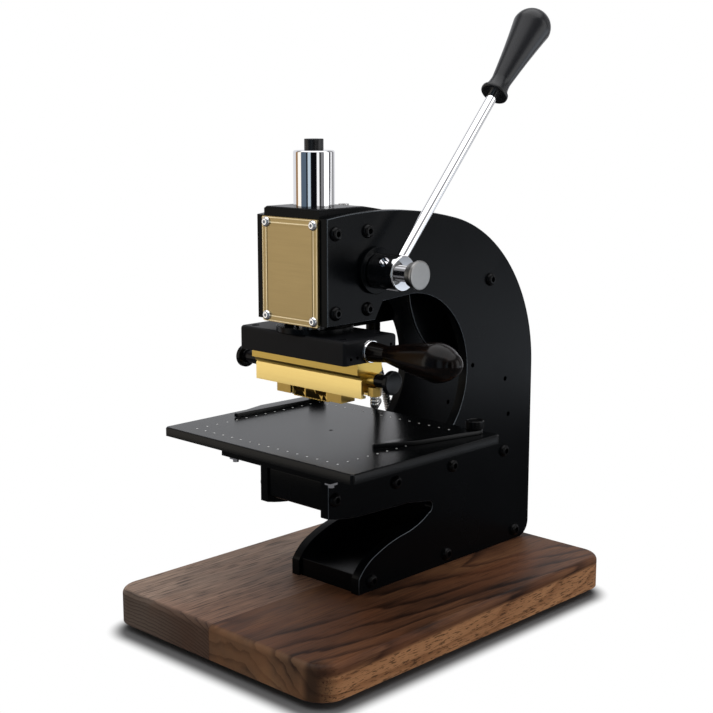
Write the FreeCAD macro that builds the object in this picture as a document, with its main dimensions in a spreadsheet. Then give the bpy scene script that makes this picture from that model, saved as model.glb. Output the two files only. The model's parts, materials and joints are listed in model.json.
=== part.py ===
import FreeCAD, Part
import math
import os

import Sketcher
from FreeCAD import Placement, Rotation, Vector

# A hand-lever hot stamping machine for the bench, in millimetres.
# The origin is on the bench under the middle of the wooden base. +Z is up, the operator stands at -Y
# and the lever is on the +X side. Heights called "rise" are measured from the top of the wooden base.

doc = FreeCAD.newDocument("HotStampingMachine")
sheet = doc.addObject("Spreadsheet::Sheet", "Sizes")


class Size:
    """A length, angle or count with the expression that gives it from the sheet."""

    def __init__(self, value, text):
        self.value = value
        self.text = text

    def __add__(self, other):
        return Size(self.value + number(other), "(%s + %s)" % (self.text, words(other)))

    def __radd__(self, other):
        return Size(number(other) + self.value, "(%s + %s)" % (words(other), self.text))

    def __sub__(self, other):
        return Size(self.value - number(other), "(%s - %s)" % (self.text, words(other)))

    def __rsub__(self, other):
        return Size(number(other) - self.value, "(%s - %s)" % (words(other), self.text))

    def __mul__(self, other):
        return Size(self.value * number(other), "(%s * %s)" % (self.text, words(other)))

    def __rmul__(self, other):
        return Size(number(other) * self.value, "(%s * %s)" % (words(other), self.text))

    def __truediv__(self, other):
        return Size(self.value / number(other), "(%s / %s)" % (self.text, words(other)))

    def __neg__(self):
        return Size(-self.value, "(0 - %s)" % self.text)


def number(item):
    return item.value if isinstance(item, Size) else float(item)


def words(item):
    return item.text if isinstance(item, Size) else "(%.10g)" % item


def root_of(item):
    return Size(math.sqrt(item.value), "sqrt(%s)" % item.text)


def sine(angle):
    return Size(math.sin(math.radians(angle.value)), "sin(%s)" % angle.text)


def cosine(angle):
    return Size(math.cos(math.radians(angle.value)), "cos(%s)" % angle.text)


cells_used = [0]


def size(alias, value):
    cells_used[0] += 1
    row = str(cells_used[0])
    sheet.set("A" + row, alias)
    sheet.set("B" + row, repr(value))
    sheet.setAlias("B" + row, alias)
    return Size(float(value), "Sizes." + alias)


def sizes_of(prefix, **values):
    """Several sizes of one piece, as a small name space."""
    group = type(prefix, (), {})
    for name, value in values.items():
        setattr(group, name, size(prefix + "_" + name, value))
    return group


# Driving dimensions
running = size("running_clearance", 0.05)
apart = size("moving_gap", 0.3)
base = sizes_of("base", width=228.6, depth=328.6, thick=26.0, corner=20.0, edge=4.5)
foot = sizes_of("rubber_foot", radius=9.75, high=6.0, edge=1.0, from_side=27.3, from_end=24.3, recess=4.0)
deck = foot.high + base.thick

frame = sizes_of("frame", plate=8.0, gap=57.0, edge=0.5, front=80.5, back=161.0, tail=13.0)
crown = sizes_of("crown", front_rise=283.6, top_rise=287.0, top_y=-27.0, join_y=59.0, join_rise=277.0,
                 shoulder_y=122.6, shoulder_rise=241.6, side_rise=148.6)
throat = sizes_of("throat", centre_y=9.0, centre_rise=156.3, radius=66.4)
head = sizes_of("head", under_rise=207.5, lip_y=-31.0, roof_y=-23.0, roof_rise=220.5, top_rise=290.0,
                flat_y=-34.5, slope_y=-8.0, slope_rise=285.5, edge=1.5)
jaw = sizes_of("jaw", top_rise=101.0, tip_rise=66.5, under_rise=70.6, front_gap=1.5, back_y=40.0)
toe = sizes_of("toe", front_y=-48.5, rise=12.0, crest_y=-42.5, crest_rise=19.3, step_y=-33.0, step_rise=26.0,
               back_y=-18.0, back_rise=32.0, flat_y=0.0, flat_rise=36.4, climb_y=19.6, climb_rise=41.2)
notch = sizes_of("notch", low_y=31.0, low_rise=47.3, end_y=35.0, end_rise=52.0, high_y=31.5, high_rise=56.3,
                 over_y=7.0, over_rise=60.2, mid_y=-40.0, mid_rise=61.4, out_y=-62.0, out_rise=62.9)
floor = sizes_of("floor_plate", front_y=-46.0, back_y=152.0, thick=14.0)
screw = sizes_of("frame_screw", head_radius=5.25, head_high=3.3, radius=3.0, long=18.0, socket=2.0)
small = sizes_of("plate_screw", head_radius=3.8, head_high=2.2, radius=2.0, long=8.0, socket=1.25)
button = sizes_of("button_head", crest_across=0.86, crest_up=0.62, flat_across=0.52, socket_deep=0.6)
cap_head = sizes_of("cap_head", edge=0.1, socket_deep=0.55)
tie = sizes_of("tie_bar", radius=7.0)
tie_top = sizes_of("tie_top", y=102.8, rise=225.0)
tie_mid_y = size("tie_middle_y", 58.7)
tie_rear_y = size("tie_rear_y", 125.0)
middle_rise = size("middle_row_rise", 80.0)
bottom_rise = size("bottom_row_rise", 8.3)
jaw_bolt_front = size("jaw_bolt_front_y", -74.0)
jaw_bolt_back = size("jaw_bolt_back_y", -8.0)
floor_bolts = [size("floor_bolt_%s_y" % word, y) for word, y in (("front", -35.0), ("middle", 52.5),
                                                                ("rear", 141.0))]
head_bolt = sizes_of("head_bolt", front_y=-72.6, back_y=-39.8, low_rise=216.5, high_rise=273.0)
web = sizes_of("web", thick=3.0, near_x=8.0, radius=68.7, inset=5.0)

ram = sizes_of("ram", radius=15.0, axis_y=-57.4, top_rise=330.0, foot_rise=203.6, edge=1.5, spigot=10.0)
gear = sizes_of("pinion", teeth=16, module=1.5, wide=14.0, thinning=0.2, tip_gap=0.4, pressure=20.0,
                chamber_gap=0.8, cut_beyond=0.6)
hub_axis = sizes_of("hub_axis", y=-32.5, rise=244.0)
spare_floor = size("spare_hole_floor", 0.6)
shaft = sizes_of("shaft", radius=6.0, edge=0.5, end_gap=1.0)
flange = sizes_of("bearing", radius=17.2, thick=3.5, spigot=10.0, edge=0.6)
drum = sizes_of("spring_drum", radius=22.0, deep=16.0, wall=1.6, floor=2.0, cover=1.6, edge=0.64)
coil = sizes_of("spring", strip=0.6, wide=11.0, pitch=2.0, turns=6, start_gap=1.2)
hub = sizes_of("hub", radius=13.0, start_x=40.3, long=25.2, neck_radius=6.0, neck_long=7.2, edge=1.0)
knob = sizes_of("hub_knob", radius=10.5, grip_radius=9.0, flare_at=4.6, long=8.2, stud=3.0, stud_long=12.0,
                edge=0.8)
lever = sizes_of("lever", rod_radius=4.0, rod_edge=1.0, at_x=55.0, lean=41.7, tail=9.5)
grip = sizes_of("grip", collar_at=168.0, collar_long=4.0, collar_radius=10.8, collar_edge=0.8,
                foot_radius=9.2, foot_hollow=0.4, neck_at=182.0, neck_radius=7.65, swell_at=210.0,
                swell_radius=11.0, widest_at=236.6, widest_radius=15.1, bore_deep=28.0)

disc = sizes_of("ram_flange", radius=28.5, thick=4.0, edge=0.5, screw_circle=19.5)
cap = sizes_of("ram_cap", radius=7.0, high=8.2, edge=1.5, stud=4.0, stud_long=8.0, stud_gap=0.5)
block = sizes_of("insulator", width=110.5, front_y=-82.3, back_y=-28.3, under_rise=182.0, edge=2.5,
                 hole=1.25, hole_deep=6.0)
side_holes = [(size("side_hole_%s_y" % word, y), size("side_hole_%s_rise" % word, rise))
              for word, y, rise in (("rear", -34.7, 192.3), ("front", -76.0, 186.3), ("middle", -69.6, 186.7))]
tiny = sizes_of("insulator_screw", x=45.6, front_y=-75.0, back_y=-36.0, head_radius=3.0, head_high=3.0,
                radius=1.75, long=22.0, socket=1.2, sunk=0.8)
hot = sizes_of("heating_plate", width=111.2, front_y=-70.0, back_y=-44.8, under_rise=170.5, cove=3.5)
heater = sizes_of("heater_block", width=111.0, front_y=-66.0, back_y=-48.8, under_rise=156.4, seam=0.4,
                  top_edge=1.2)
rod = sizes_of("cartridge", radius=3.0, long=96.0, rise=177.0, half_pitch=7.6)
slot = sizes_of("holder_slot", half_neck=4.0, half_wide=6.0, lip=1.8, deep=4.8)
holder = sizes_of("type_holder", half_long=34.0, half_deep=7.0, under_rise=149.6, jaw_long=14.6)
types = sizes_of("types", count=13, wide=2.85, deep=12.0, under_rise=148.0, face=0.45, face_end=1.35,
                 face_high=1.2)
clamp = sizes_of("clamp_knob", rise=170.0, neck_radius=5.0, neck_long=19.2, disc_radius=8.65, disc_long=4.0,
                 stud=3.0, stud_long=12.0, edge=0.5, boss=8.0)
plug = sizes_of("heater_fitting", x=60.5, under_rise=158.5, high=6.4, across=9.0, stub=2.3, stub_deep=3.0)
side = sizes_of("side_handle", rise=190.0, collar_radius=8.25, collar_long=3.2, collar_edge=0.6,
                foot_radius=7.4, neck_x=73.0, neck_ease=0.35, neck_radius=5.9, swell_x=96.0, swell_radius=10.6,
                bulb_x=118.0, bulb_radius=14.0, round_x=126.5, round_radius=12.3, end_x=133.0, end_radius=8.5,
                ball=9.32, stud=4.0, stud_in=14.0, stud_out=22.0)

table = sizes_of("table", width=200.0, front_y=-120.9, back_y=37.3, top_rise=120.2, thick=7.0, corner=2.5,
                 edge=1.0, hole_y=-41.0, hole=1.5, hole_deep=3.0)
under = sizes_of("under_plate", width=116.0, front_y=-100.0, back_y=30.0, tongue_front_y=-66.0,
                 tongue_deep=7.0, side_gap=0.3, overlap=0.2)
knurl = sizes_of("table_screw", x=51.0, y=-92.0, head_radius=4.75, head_high=2.5, nose_radius=2.25,
                 nose_long=2.6, radius=2.0, in_table=4.0, end_x=92.0, end_y=-90.0, end_radius=4.0,
                 end_high=2.0, end_edge=0.5)
guide = sizes_of("guide", thick=3.0, wide=12.0, pivot_x=84.0, pivot_y=27.0, long=90.0, left_lean=2.8,
                 right_lean=12.5, tip=3.0, tip_edge=1.0, taper=34.0, edge=0.5)
thumb = sizes_of("guide_knob", radius=7.15, high=6.6, stud=2.5, in_table=5.0, end_gap=0.5, edge=0.6)

control = sizes_of("controller", front_y=20.0, back_y=130.0, under_rise=188.0, top_rise=250.0, deep=41.0,
                   cover=3.0, edge=3.0, screw_room=6.0)
dial = sizes_of("dial", y=50.0, radius=14.0, long=12.0, stud=3.0, stud_long=8.0, end_gap=1.0, edge=1.0,
                mark_wide=1.2, mark_long=4.0, mark_deep=0.6)
rocker = sizes_of("rocker", y=104.0, tall=19.0, wide=11.0, deep=9.0, proud=2.4, gap=0.4, pin=1.0, pin_gap=0.1,
                  body_deep=4.95, taper=1.6, lip=0.4, waist=1.08)
inlet = sizes_of("inlet", x=-60.0, rise=219.0, wide=27.0, tall=20.0, lip=2.0, body_wide=24.0, body_tall=17.0,
                 body_deep=19.0, body_gap=0.1, end_gap=0.5, hole_wide=20.0, hole_tall=13.0, hole_deep=15.0,
                 corner=2.0, pin_wide=2.0, pin_tall=4.0, pin_short=4.0, pin_apart=5.5, pin_low=2.0,
                 pin_high=2.6)
cord = sizes_of("lead", radius=3.25, clip_y=46.0, clip_rise=84.0, clip_high=9.0, clip_wall=1.6, gland_y=66.0,
                gland_radius=6.0, gland_long=12.0)

# The sine of an eighth of a turn, and what an arc of a quarter turn leaves of its corner
eighth = math.sqrt(0.5)
corner_cut = 1 - eighth
root_three = math.sqrt(0.75)
half_gap = frame.gap / 2
outer_x = half_gap + frame.plate
hub_z = deck + hub_axis.rise
pitch_radius = gear.module * gear.teeth / 2
rack_line = hub_axis.y - pitch_radius
tooth_pitch = gear.module * math.pi


def at_rise(rise):
    return deck + rise


# Helpers that draw and build

def bind(item, name, value):
    """Tie a property to the sheet, where its value comes from there."""
    if isinstance(value, Size):
        item.setExpression(name, value.text)


def vector(first, second):
    return Vector(number(first), number(second), 0)


class Via:
    """The middle point of an arc between two corners of an outline."""

    def __init__(self, across, up):
        self.place = (across, up)


def new_body(name):
    body = doc.addObject("PartDesign::Body", name)
    body.Label = name
    body.AllowCompound = True
    return body


def new_sketch(body, plane, offset=0):
    sketch = body.newObject("Sketcher::SketchObject", body.Name + "_outline")
    support = [feature for feature in body.Origin.OriginFeatures if feature.Role == plane][0]
    sketch.AttachmentSupport = [(support, "")]
    sketch.MapMode = "FlatFace"
    if number(offset):
        sketch.AttachmentOffset = Placement(Vector(0, 0, number(offset)), Rotation())
        bind(sketch, "AttachmentOffset.Base.z", offset)
    return sketch


def hold(sketch, kind, geometry, point, value):
    """Fix one coordinate of a point to a value or to the sheet."""
    if abs(number(value)) < 1e-9:
        axis = -2 if kind == "DistanceX" else -1
        sketch.addConstraint(Sketcher.Constraint("PointOnObject", geometry, point, axis))
        return
    index = sketch.addConstraint(Sketcher.Constraint(kind, -1, 1, geometry, point, number(value)))
    if isinstance(value, Size):
        sketch.setExpression("Constraints[%d]" % index, value.text)


def draw(sketch, corners):
    """Draw a closed outline through corners, with an arc wherever a Via stands between two of them."""
    stops = [index for index, corner in enumerate(corners) if not isinstance(corner, Via)]
    edges = []
    ends = []
    middles = []
    for order, index in enumerate(stops):
        start = vector(*corners[index])
        end = vector(*corners[stops[(order + 1) % len(stops)]])
        after = corners[(index + 1) % len(corners)]
        if not isinstance(after, Via):
            edges.append(sketch.addGeometry(Part.LineSegment(start, end), False))
            ends.append((1, 2))
            continue
        middle = vector(*after.place)
        anticlockwise = (middle - start).cross(end - middle).z > 0
        arc = Part.Arc(start, middle, end) if anticlockwise else Part.Arc(end, middle, start)
        edges.append(sketch.addGeometry(arc, False))
        ends.append((1, 2) if anticlockwise else (2, 1))
        middles.append((edges[-1], after.place))
    for order, edge in enumerate(edges):
        first, last = ends[order]
        following = (order + 1) % len(edges)
        sketch.addConstraint(Sketcher.Constraint("Coincident", edge, last, edges[following],
                                                 ends[following][0]))
        across, up = corners[stops[order]]
        hold(sketch, "DistanceX", edge, first, across)
        hold(sketch, "DistanceY", edge, first, up)
    for edge, place in middles:
        mark = sketch.addGeometry(Part.Point(vector(*place)), True)
        hold(sketch, "DistanceX", mark, 1, place[0])
        hold(sketch, "DistanceY", mark, 1, place[1])
        sketch.addConstraint(Sketcher.Constraint("PointOnObject", mark, 1, edge))
    return sketch


def ring(sketch, across, up, radius):
    circle = Part.Circle(vector(across, up), Vector(0, 0, 1), number(radius))
    index = sketch.addGeometry(circle, False)
    hold(sketch, "DistanceX", index, 3, across)
    hold(sketch, "DistanceY", index, 3, up)
    limit = sketch.addConstraint(Sketcher.Constraint("Radius", index, number(radius)))
    if isinstance(radius, Size):
        sketch.setExpression("Constraints[%d]" % limit, radius.text)


def rounded(corner, radius, along, onward):
    """The two ends and the middle of a round corner between two axis directions."""
    start = (corner[0] - radius * along[0], corner[1] - radius * along[1])
    end = (corner[0] + radius * onward[0], corner[1] + radius * onward[1])
    middle = Via(corner[0] + radius * ((onward[0] - along[0]) * corner_cut),
                 corner[1] + radius * ((onward[1] - along[1]) * corner_cut))
    return [start, middle, end]


def rectangle(low_u, low_v, high_u, high_v, radius=None):
    corners = [(low_u, low_v), (high_u, low_v), (high_u, high_v), (low_u, high_v)]
    if radius is None:
        return corners
    ways = [(0, -1), (1, 0), (0, 1), (-1, 0)]
    path = []
    for order, corner in enumerate(corners):
        path += rounded(corner, radius, ways[order], ways[(order + 1) % 4])
    return path


def feature(body, kind, sketch, length=None, reverse=False):
    item = body.newObject("PartDesign::" + kind, body.Name + "_" + kind.lower())
    item.Profile = sketch
    item.Reversed = reverse
    if length is None:
        item.Type = "ThroughAll"
    else:
        item.Length = number(length)
        bind(item, "Length", length)
    return item


def pad(body, plane, corners, length, offset=0, reverse=False):
    return feature(body, "Pad", draw(new_sketch(body, plane, offset), corners), length, reverse)


def pocket(body, plane, corners, length, offset=0, reverse=False):
    return feature(body, "Pocket", draw(new_sketch(body, plane, offset), corners), length, reverse)


def bore(body, plane, places, radius, length, offset=0, reverse=False):
    """Round holes of one radius, sunk from a plane."""
    sketch = new_sketch(body, plane, offset)
    for across, up in places:
        ring(sketch, across, up, radius)
    return feature(body, "Pocket", sketch, length, reverse)


def stud(body, plane, places, radius, length, offset=0, reverse=False):
    sketch = new_sketch(body, plane, offset)
    for across, up in places:
        ring(sketch, across, up, radius)
    return feature(body, "Pad", sketch, length, reverse)


def turned(name, profile):
    """A turned piece: its half section, as radius and height, goes once round the body's own Z."""
    body = new_body(name)
    sketch = draw(new_sketch(body, "XZ_Plane"), profile)
    item = body.newObject("PartDesign::Revolution", name + "_turning")
    item.Profile = sketch
    item.ReferenceAxis = (sketch, ["V_Axis"])
    item.Angle = 360
    return body


def dress(body, kind, amount, pick):
    """Fillet or chamfer the edges that pick accepts."""
    doc.recompute()
    base_feature = body.Tip
    chosen = ["Edge%d" % (index + 1) for index, edge in enumerate(base_feature.Shape.Edges) if pick(edge)]
    item = body.newObject("PartDesign::" + kind, body.Name + "_" + kind.lower())
    item.Base = (base_feature, chosen)
    name = "Radius" if kind == "Fillet" else "Size"
    setattr(item, name, number(amount))
    bind(item, name, amount)
    return item


def on_plane(axis, value):
    """Picks the edges that lie wholly in one plane square to an axis."""
    def pick(edge):
        box = edge.BoundBox
        low, high = {"x": (box.XMin, box.XMax), "y": (box.YMin, box.YMax), "z": (box.ZMin, box.ZMax)}[axis]
        return abs(low - number(value)) < 1e-4 and abs(high - number(value)) < 1e-4
    return pick


TURNS = {"up": (Vector(0, 0, 1), 0), "down": (Vector(1, 0, 0), 180), "right": (Vector(0, 1, 0), 90),
         "left": (Vector(0, 1, 0), -90), "front": (Vector(1, 0, 0), 90), "back": (Vector(1, 0, 0), -90)}


def put(item, across, back, up, way="up", angle=None):
    """Place an item: its own Z points the way named, or leans by an angle about X."""
    axis, degrees = TURNS[way]
    item.Placement = Placement(Vector(number(across), number(back), number(up)), Rotation(axis, degrees))
    if angle is not None:
        axis, turn = angle
        item.Placement = Placement(item.Placement.Base, Rotation(axis, number(turn)))
        item.setExpression("Placement.Rotation.Angle", words(turn))
    for name, value in (("x", across), ("y", back), ("z", up)):
        bind(item, "Placement.Base." + name, value)
    return item


def copies(name, master, places, way):
    """One node of separate, equal pieces, each a linked copy of the master."""
    links = []
    for order, (across, back, up) in enumerate(places):
        link = doc.addObject("App::Link", "%s_%d" % (name, order + 1))
        link.LinkedObject = master
        link.LinkTransform = False
        links.append(put(link, across, back, up, way))
    group = doc.addObject("Part::Compound", name)
    group.Label = name
    group.Links = links
    return group


def button_screw(name, sizes):
    """A button head screw along Z, with its head above z = 0 and its shank below."""
    crest = Via(sizes.head_radius * button.crest_across, sizes.head_high * button.crest_up)
    body = turned(name, [(0, -sizes.long), (sizes.radius, -sizes.long), (sizes.radius, 0),
                         (sizes.head_radius, 0), crest, (sizes.head_radius * button.flat_across,
                                                         sizes.head_high), (0, sizes.head_high)])
    pocket(body, "XY_Plane", hexagon(0, 0, sizes.socket), sizes.head_high * button.socket_deep,
           offset=sizes.head_high)
    return body


def cap_screw(name, radius, head_radius, head_high, long, socket):
    """A socket head screw along Z, with its head above z = 0."""
    edge = head_high * cap_head.edge
    body = turned(name, [(0, -long), (radius, -long), (radius, 0), (head_radius, 0),
                         (head_radius, head_high - edge), (head_radius - edge, head_high), (0, head_high)])
    pocket(body, "XY_Plane", hexagon(0, 0, socket), head_high * cap_head.socket_deep, offset=head_high)
    return body


def hexagon(across, up, half_across):
    """Six corners round a point, from half the distance across the flats."""
    reach = half_across * (2 / math.sqrt(3))
    return [(across + reach * math.cos(math.radians(60 * turn)), up + reach * math.sin(math.radians(60 * turn)))
            for turn in range(6)]


nodes = []


def keep(item):
    nodes.append(item)
    return item


# Wooden base, its feet and screws

def wooden_plank(name, way):
    """One of two planks, with its outer corners round and its upper edge rounded over."""
    body = new_body(name)
    outer = base.width / 2 * way
    half = base.depth / 2
    front = rounded((outer, -half), base.corner, (way, 0), (0, 1))
    back = rounded((outer, half), base.corner, (0, 1), (-way, 0))
    pad(body, "XY_Plane", [(0, -half)] + front + back + [(0, half)], base.thick, offset=foot.high)
    dress(body, "Fillet", base.edge, lambda edge: on_plane("z", deck)(edge) and edge.BoundBox.XLength
          + edge.BoundBox.YLength > 1 and abs(edge.CenterOfMass.x) > 1)
    places = [(screw_x * way, y) for screw_x, y in base_screw_places]
    bore(body, "XY_Plane", places, base_screw.radius + running, base.thick, offset=foot.high, reverse=True)
    bore(body, "XY_Plane", places, base_screw.head_radius + apart, base_screw.sunk, offset=foot.high,
         reverse=True)
    feet = [(place[0], place[1]) for place in foot_places if place[0].value * way > 0]
    bore(body, "XY_Plane", feet, foot_screw.radius, foot_screw.long, offset=foot.high, reverse=True)
    return keep(body)


base_screw = sizes_of("base_screw", radius=3.0, head_radius=5.0, head_high=5.0, long=24.0, socket=2.5,
                      sunk=12.0, x=17.0, front_y=-30.0, back_y=112.0)
foot_screw = sizes_of("foot_screw", radius=2.0, head_radius=3.5, head_high=2.2, long=10.0, socket=1.2)
base_screw_places = [(base_screw.x, base_screw.front_y), (base_screw.x, base_screw.back_y)]
foot_x = base.width / 2 - foot.from_side
foot_y = base.depth / 2 - foot.from_end
foot_places = [(foot_x * right, foot_y * back) for right in (-1, 1) for back in (-1, 1)]

wooden_plank("base_plank_left", -1)
wooden_plank("base_plank_right", 1)

foot_body = turned("foot_master", [(foot_screw.radius + running, foot.high),
                                   (foot_screw.radius + running, foot.recess),
                                   (foot_screw.head_radius + apart, foot.recess),
                                   (foot_screw.head_radius + apart, 0), (foot.radius - foot.edge, 0),
                                   (foot.radius, foot.edge),
                                   (foot.radius, foot.high)])
keep(copies("rubber_feet", foot_body, [(x, y, 0) for x, y in foot_places], "up"))
foot_screw_body = cap_screw("foot_screw_master", foot_screw.radius, foot_screw.head_radius,
                            foot_screw.head_high, foot_screw.long + foot.high - foot.recess, foot_screw.socket)
keep(copies("foot_screws", foot_screw_body, [(x, y, foot.recess) for x, y in foot_places], "down"))
base_screw_body = cap_screw("base_screw_master", base_screw.radius, base_screw.head_radius,
                            base_screw.head_high, base_screw.long, base_screw.socket)
keep(copies("base_screws", base_screw_body, [(x * way, y, foot.high + base_screw.sunk)
                                             for x, y in base_screw_places for way in (-1, 1)], "down"))

# Side plates: two equal C-shaped plates, cut with the same outline

bolt_rows = ([(y, rise) for rise in (head_bolt.high_rise, head_bolt.low_rise)
              for y in (head_bolt.front_y, head_bolt.back_y)]
             + [(tie_top.y, tie_top.rise)]
             + [(y, middle_rise) for y in (jaw_bolt_front, jaw_bolt_back, tie_mid_y, tie_rear_y)]
             + [(y, bottom_rise) for y in floor_bolts])
oil_hole = size("small_hole_radius", 2.0)
oil_holes = [(size("small_hole_%s_y" % word, y), size("small_hole_%s_rise" % word, rise))
             for word, y, rise in (("upper", 82.5, 158.0), ("middle", 125.0, 141.0), ("lower", 130.2, 110.5))]


def plate_outline(front):
    """The side of a plate, from the top of its head round the back, the toe, the notch and the throat."""
    jaw_reach = root_of(throat.radius * throat.radius
                        - (throat.centre_rise - jaw.top_rise) * (throat.centre_rise - jaw.top_rise))
    tail = rounded((frame.back, deck), frame.tail, (0, -1), (-1, 0))
    return ([(-front, at_rise(crown.front_rise)), Via(crown.top_y, at_rise(crown.top_rise)),
             (crown.join_y, at_rise(crown.join_rise)), Via(crown.shoulder_y, at_rise(crown.shoulder_rise)),
             (frame.back, at_rise(crown.side_rise))]
            + tail
            + [(toe.front_y, deck), (toe.front_y, at_rise(toe.rise)), Via(toe.crest_y, at_rise(toe.crest_rise)),
               (toe.step_y, at_rise(toe.step_rise)), Via(toe.back_y, at_rise(toe.back_rise)),
               (toe.flat_y, at_rise(toe.flat_rise)), Via(toe.climb_y, at_rise(toe.climb_rise)),
               (notch.low_y, at_rise(notch.low_rise)), Via(notch.end_y, at_rise(notch.end_rise)),
               (notch.high_y, at_rise(notch.high_rise)), (notch.over_y, at_rise(notch.over_rise)),
               (notch.mid_y, at_rise(notch.mid_rise)), Via(notch.out_y, at_rise(notch.out_rise)),
               (-front, at_rise(jaw.tip_rise)),
               (-front, at_rise(jaw.top_rise)), (throat.centre_y + jaw_reach, at_rise(jaw.top_rise)),
               Via(throat.centre_y + throat.radius, at_rise(throat.centre_rise)),
               (throat.centre_y, at_rise(throat.centre_rise + throat.radius)),
               (head.roof_y, at_rise(head.roof_rise)),
               (head.lip_y, at_rise(head.under_rise)), (-front, at_rise(head.under_rise))])


def side_plate(name, way):
    body = new_body(name)
    inner = half_gap * way
    pad(body, "YZ_Plane", plate_outline(frame.front), frame.plate, offset=inner, reverse=way < 0)
    face = outer_x * way
    dress(body, "Chamfer", frame.edge, on_plane("x", face))
    bore(body, "YZ_Plane", [(y, at_rise(rise)) for y, rise in bolt_rows], screw.radius + running, frame.plate,
         offset=face, reverse=way < 0)
    opening = flange.spigot if way > 0 else spigot_left
    bore(body, "YZ_Plane", [(hub_axis.y, hub_z)], opening + running, frame.plate, offset=face, reverse=way < 0)
    bore(body, "YZ_Plane", [(y, at_rise(rise)) for y, rise in oil_holes], oil_hole, frame.plate, offset=face,
         reverse=way < 0)
    return keep(body)


tip_radius = pitch_radius + gear.module
spigot_left = tip_radius + gear.chamber_gap
side_plate("side_plate_left", -1)
side_plate("side_plate_right", 1)


def side_threads(body, places, way, deep=None):
    """Threaded holes for the frame screws, from the side faces inward."""
    reach = screw.long - frame.plate + 1 if deep is None else deep
    bore(body, "YZ_Plane", [(y, at_rise(rise)) for y, rise in places], screw.radius, reach,
         offset=half_gap * way, reverse=way < 0)


# Pieces between the side plates

def floor_plate():
    body = new_body("floor_plate")
    pad(body, "XY_Plane", rectangle(-half_gap, floor.front_y, half_gap, floor.back_y), floor.thick, offset=deck)
    dress(body, "Chamfer", frame.edge, lambda edge: on_plane("z", deck + floor.thick)(edge)
          and on_plane("y", floor.front_y)(edge))
    for way in (-1, 1):
        side_threads(body, [(y, bottom_rise) for y in floor_bolts], way)
    bore(body, "XY_Plane", [(x * way, y) for x, y in base_screw_places for way in (-1, 1)], base_screw.radius,
         base_screw.long - base.thick + base_screw.sunk + 1, offset=deck, reverse=True)
    return keep(body)


def jaw_block():
    """The block under the table, with a channel for the tongue of the sliding under plate."""
    body = new_body("jaw_block")
    front = -frame.front + jaw.front_gap
    top = at_rise(jaw.top_rise) - under.tongue_deep - apart
    pad(body, "YZ_Plane", rectangle(front, at_rise(jaw.under_rise), jaw.back_y, top), frame.gap,
        offset=-half_gap)
    dress(body, "Chamfer", size("jaw_edge", 1.5), lambda edge: on_plane("y", front)(edge)
          and edge.BoundBox.XLength > 1)
    for way in (-1, 1):
        side_threads(body, [(jaw_bolt_front, middle_rise), (jaw_bolt_back, middle_rise)], way)
    return keep(body)


def tie_bars():
    """Three round spacers with a threaded hole in each end."""
    master = turned("tie_bar_master", [(0, -half_gap), (tie.radius, -half_gap), (tie.radius, half_gap),
                                       (0, half_gap)])
    for way in (-1, 1):
        bore(master, "XY_Plane", [(0, 0)], screw.radius, screw.long - frame.plate + 1, offset=half_gap * way,
             reverse=way < 0)
    places = [(0, tie_top.y, at_rise(tie_top.rise)), (0, tie_mid_y, at_rise(middle_rise)),
              (0, tie_rear_y, at_rise(middle_rise))]
    return keep(copies("tie_bars", master, places, "right"))


def inner_web():
    """A flat stiffening web on the upper tie bar, with its lower front edge an arc about that bar."""
    body = new_body("inner_web")
    shoulder_y, shoulder_rise, shoulder_radius = circle_through(
        (crown.join_y, crown.join_rise), (crown.shoulder_y, crown.shoulder_rise),
        (frame.back, crown.side_rise))
    limit = shoulder_radius - web.inset.value
    first, second = crossings((tie_top.y.value, tie_top.rise.value), web.radius.value,
                              (shoulder_y, shoulder_rise), limit)
    outer = Via(shoulder_y + limit * eighth, at_rise(shoulder_rise + limit * eighth))
    inner = Via(tie_top.y - web.radius * eighth, at_rise(tie_top.rise - web.radius * eighth))
    pad(body, "YZ_Plane", [(first[0], at_rise(first[1])), outer, (second[0], at_rise(second[1])), inner],
        web.thick, offset=web.near_x)
    bore(body, "YZ_Plane", [(tie_top.y, at_rise(tie_top.rise))], tie.radius, web.thick,
         offset=web.near_x + web.thick)
    return keep(body)


def circle_through(first, second, third):
    curve = Part.Arc(vector(*first), vector(*second), vector(*third)).toShape().Curve
    return curve.Center.x, curve.Center.y, curve.Radius


def crossings(one, one_radius, two, two_radius):
    """The two points where two circles cross, upper one first."""
    across = two[0] - one[0]
    up = two[1] - one[1]
    away = math.hypot(across, up)
    along = (one_radius ** 2 - two_radius ** 2 + away ** 2) / (2 * away)
    off = math.sqrt(one_radius ** 2 - along ** 2)
    middle = (one[0] + across / away * along, one[1] + up / away * along)
    points = [(middle[0] + up / away * off * sign, middle[1] - across / away * off * sign) for sign in (1, -1)]
    return sorted(points, key=lambda point: -point[1])


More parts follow.
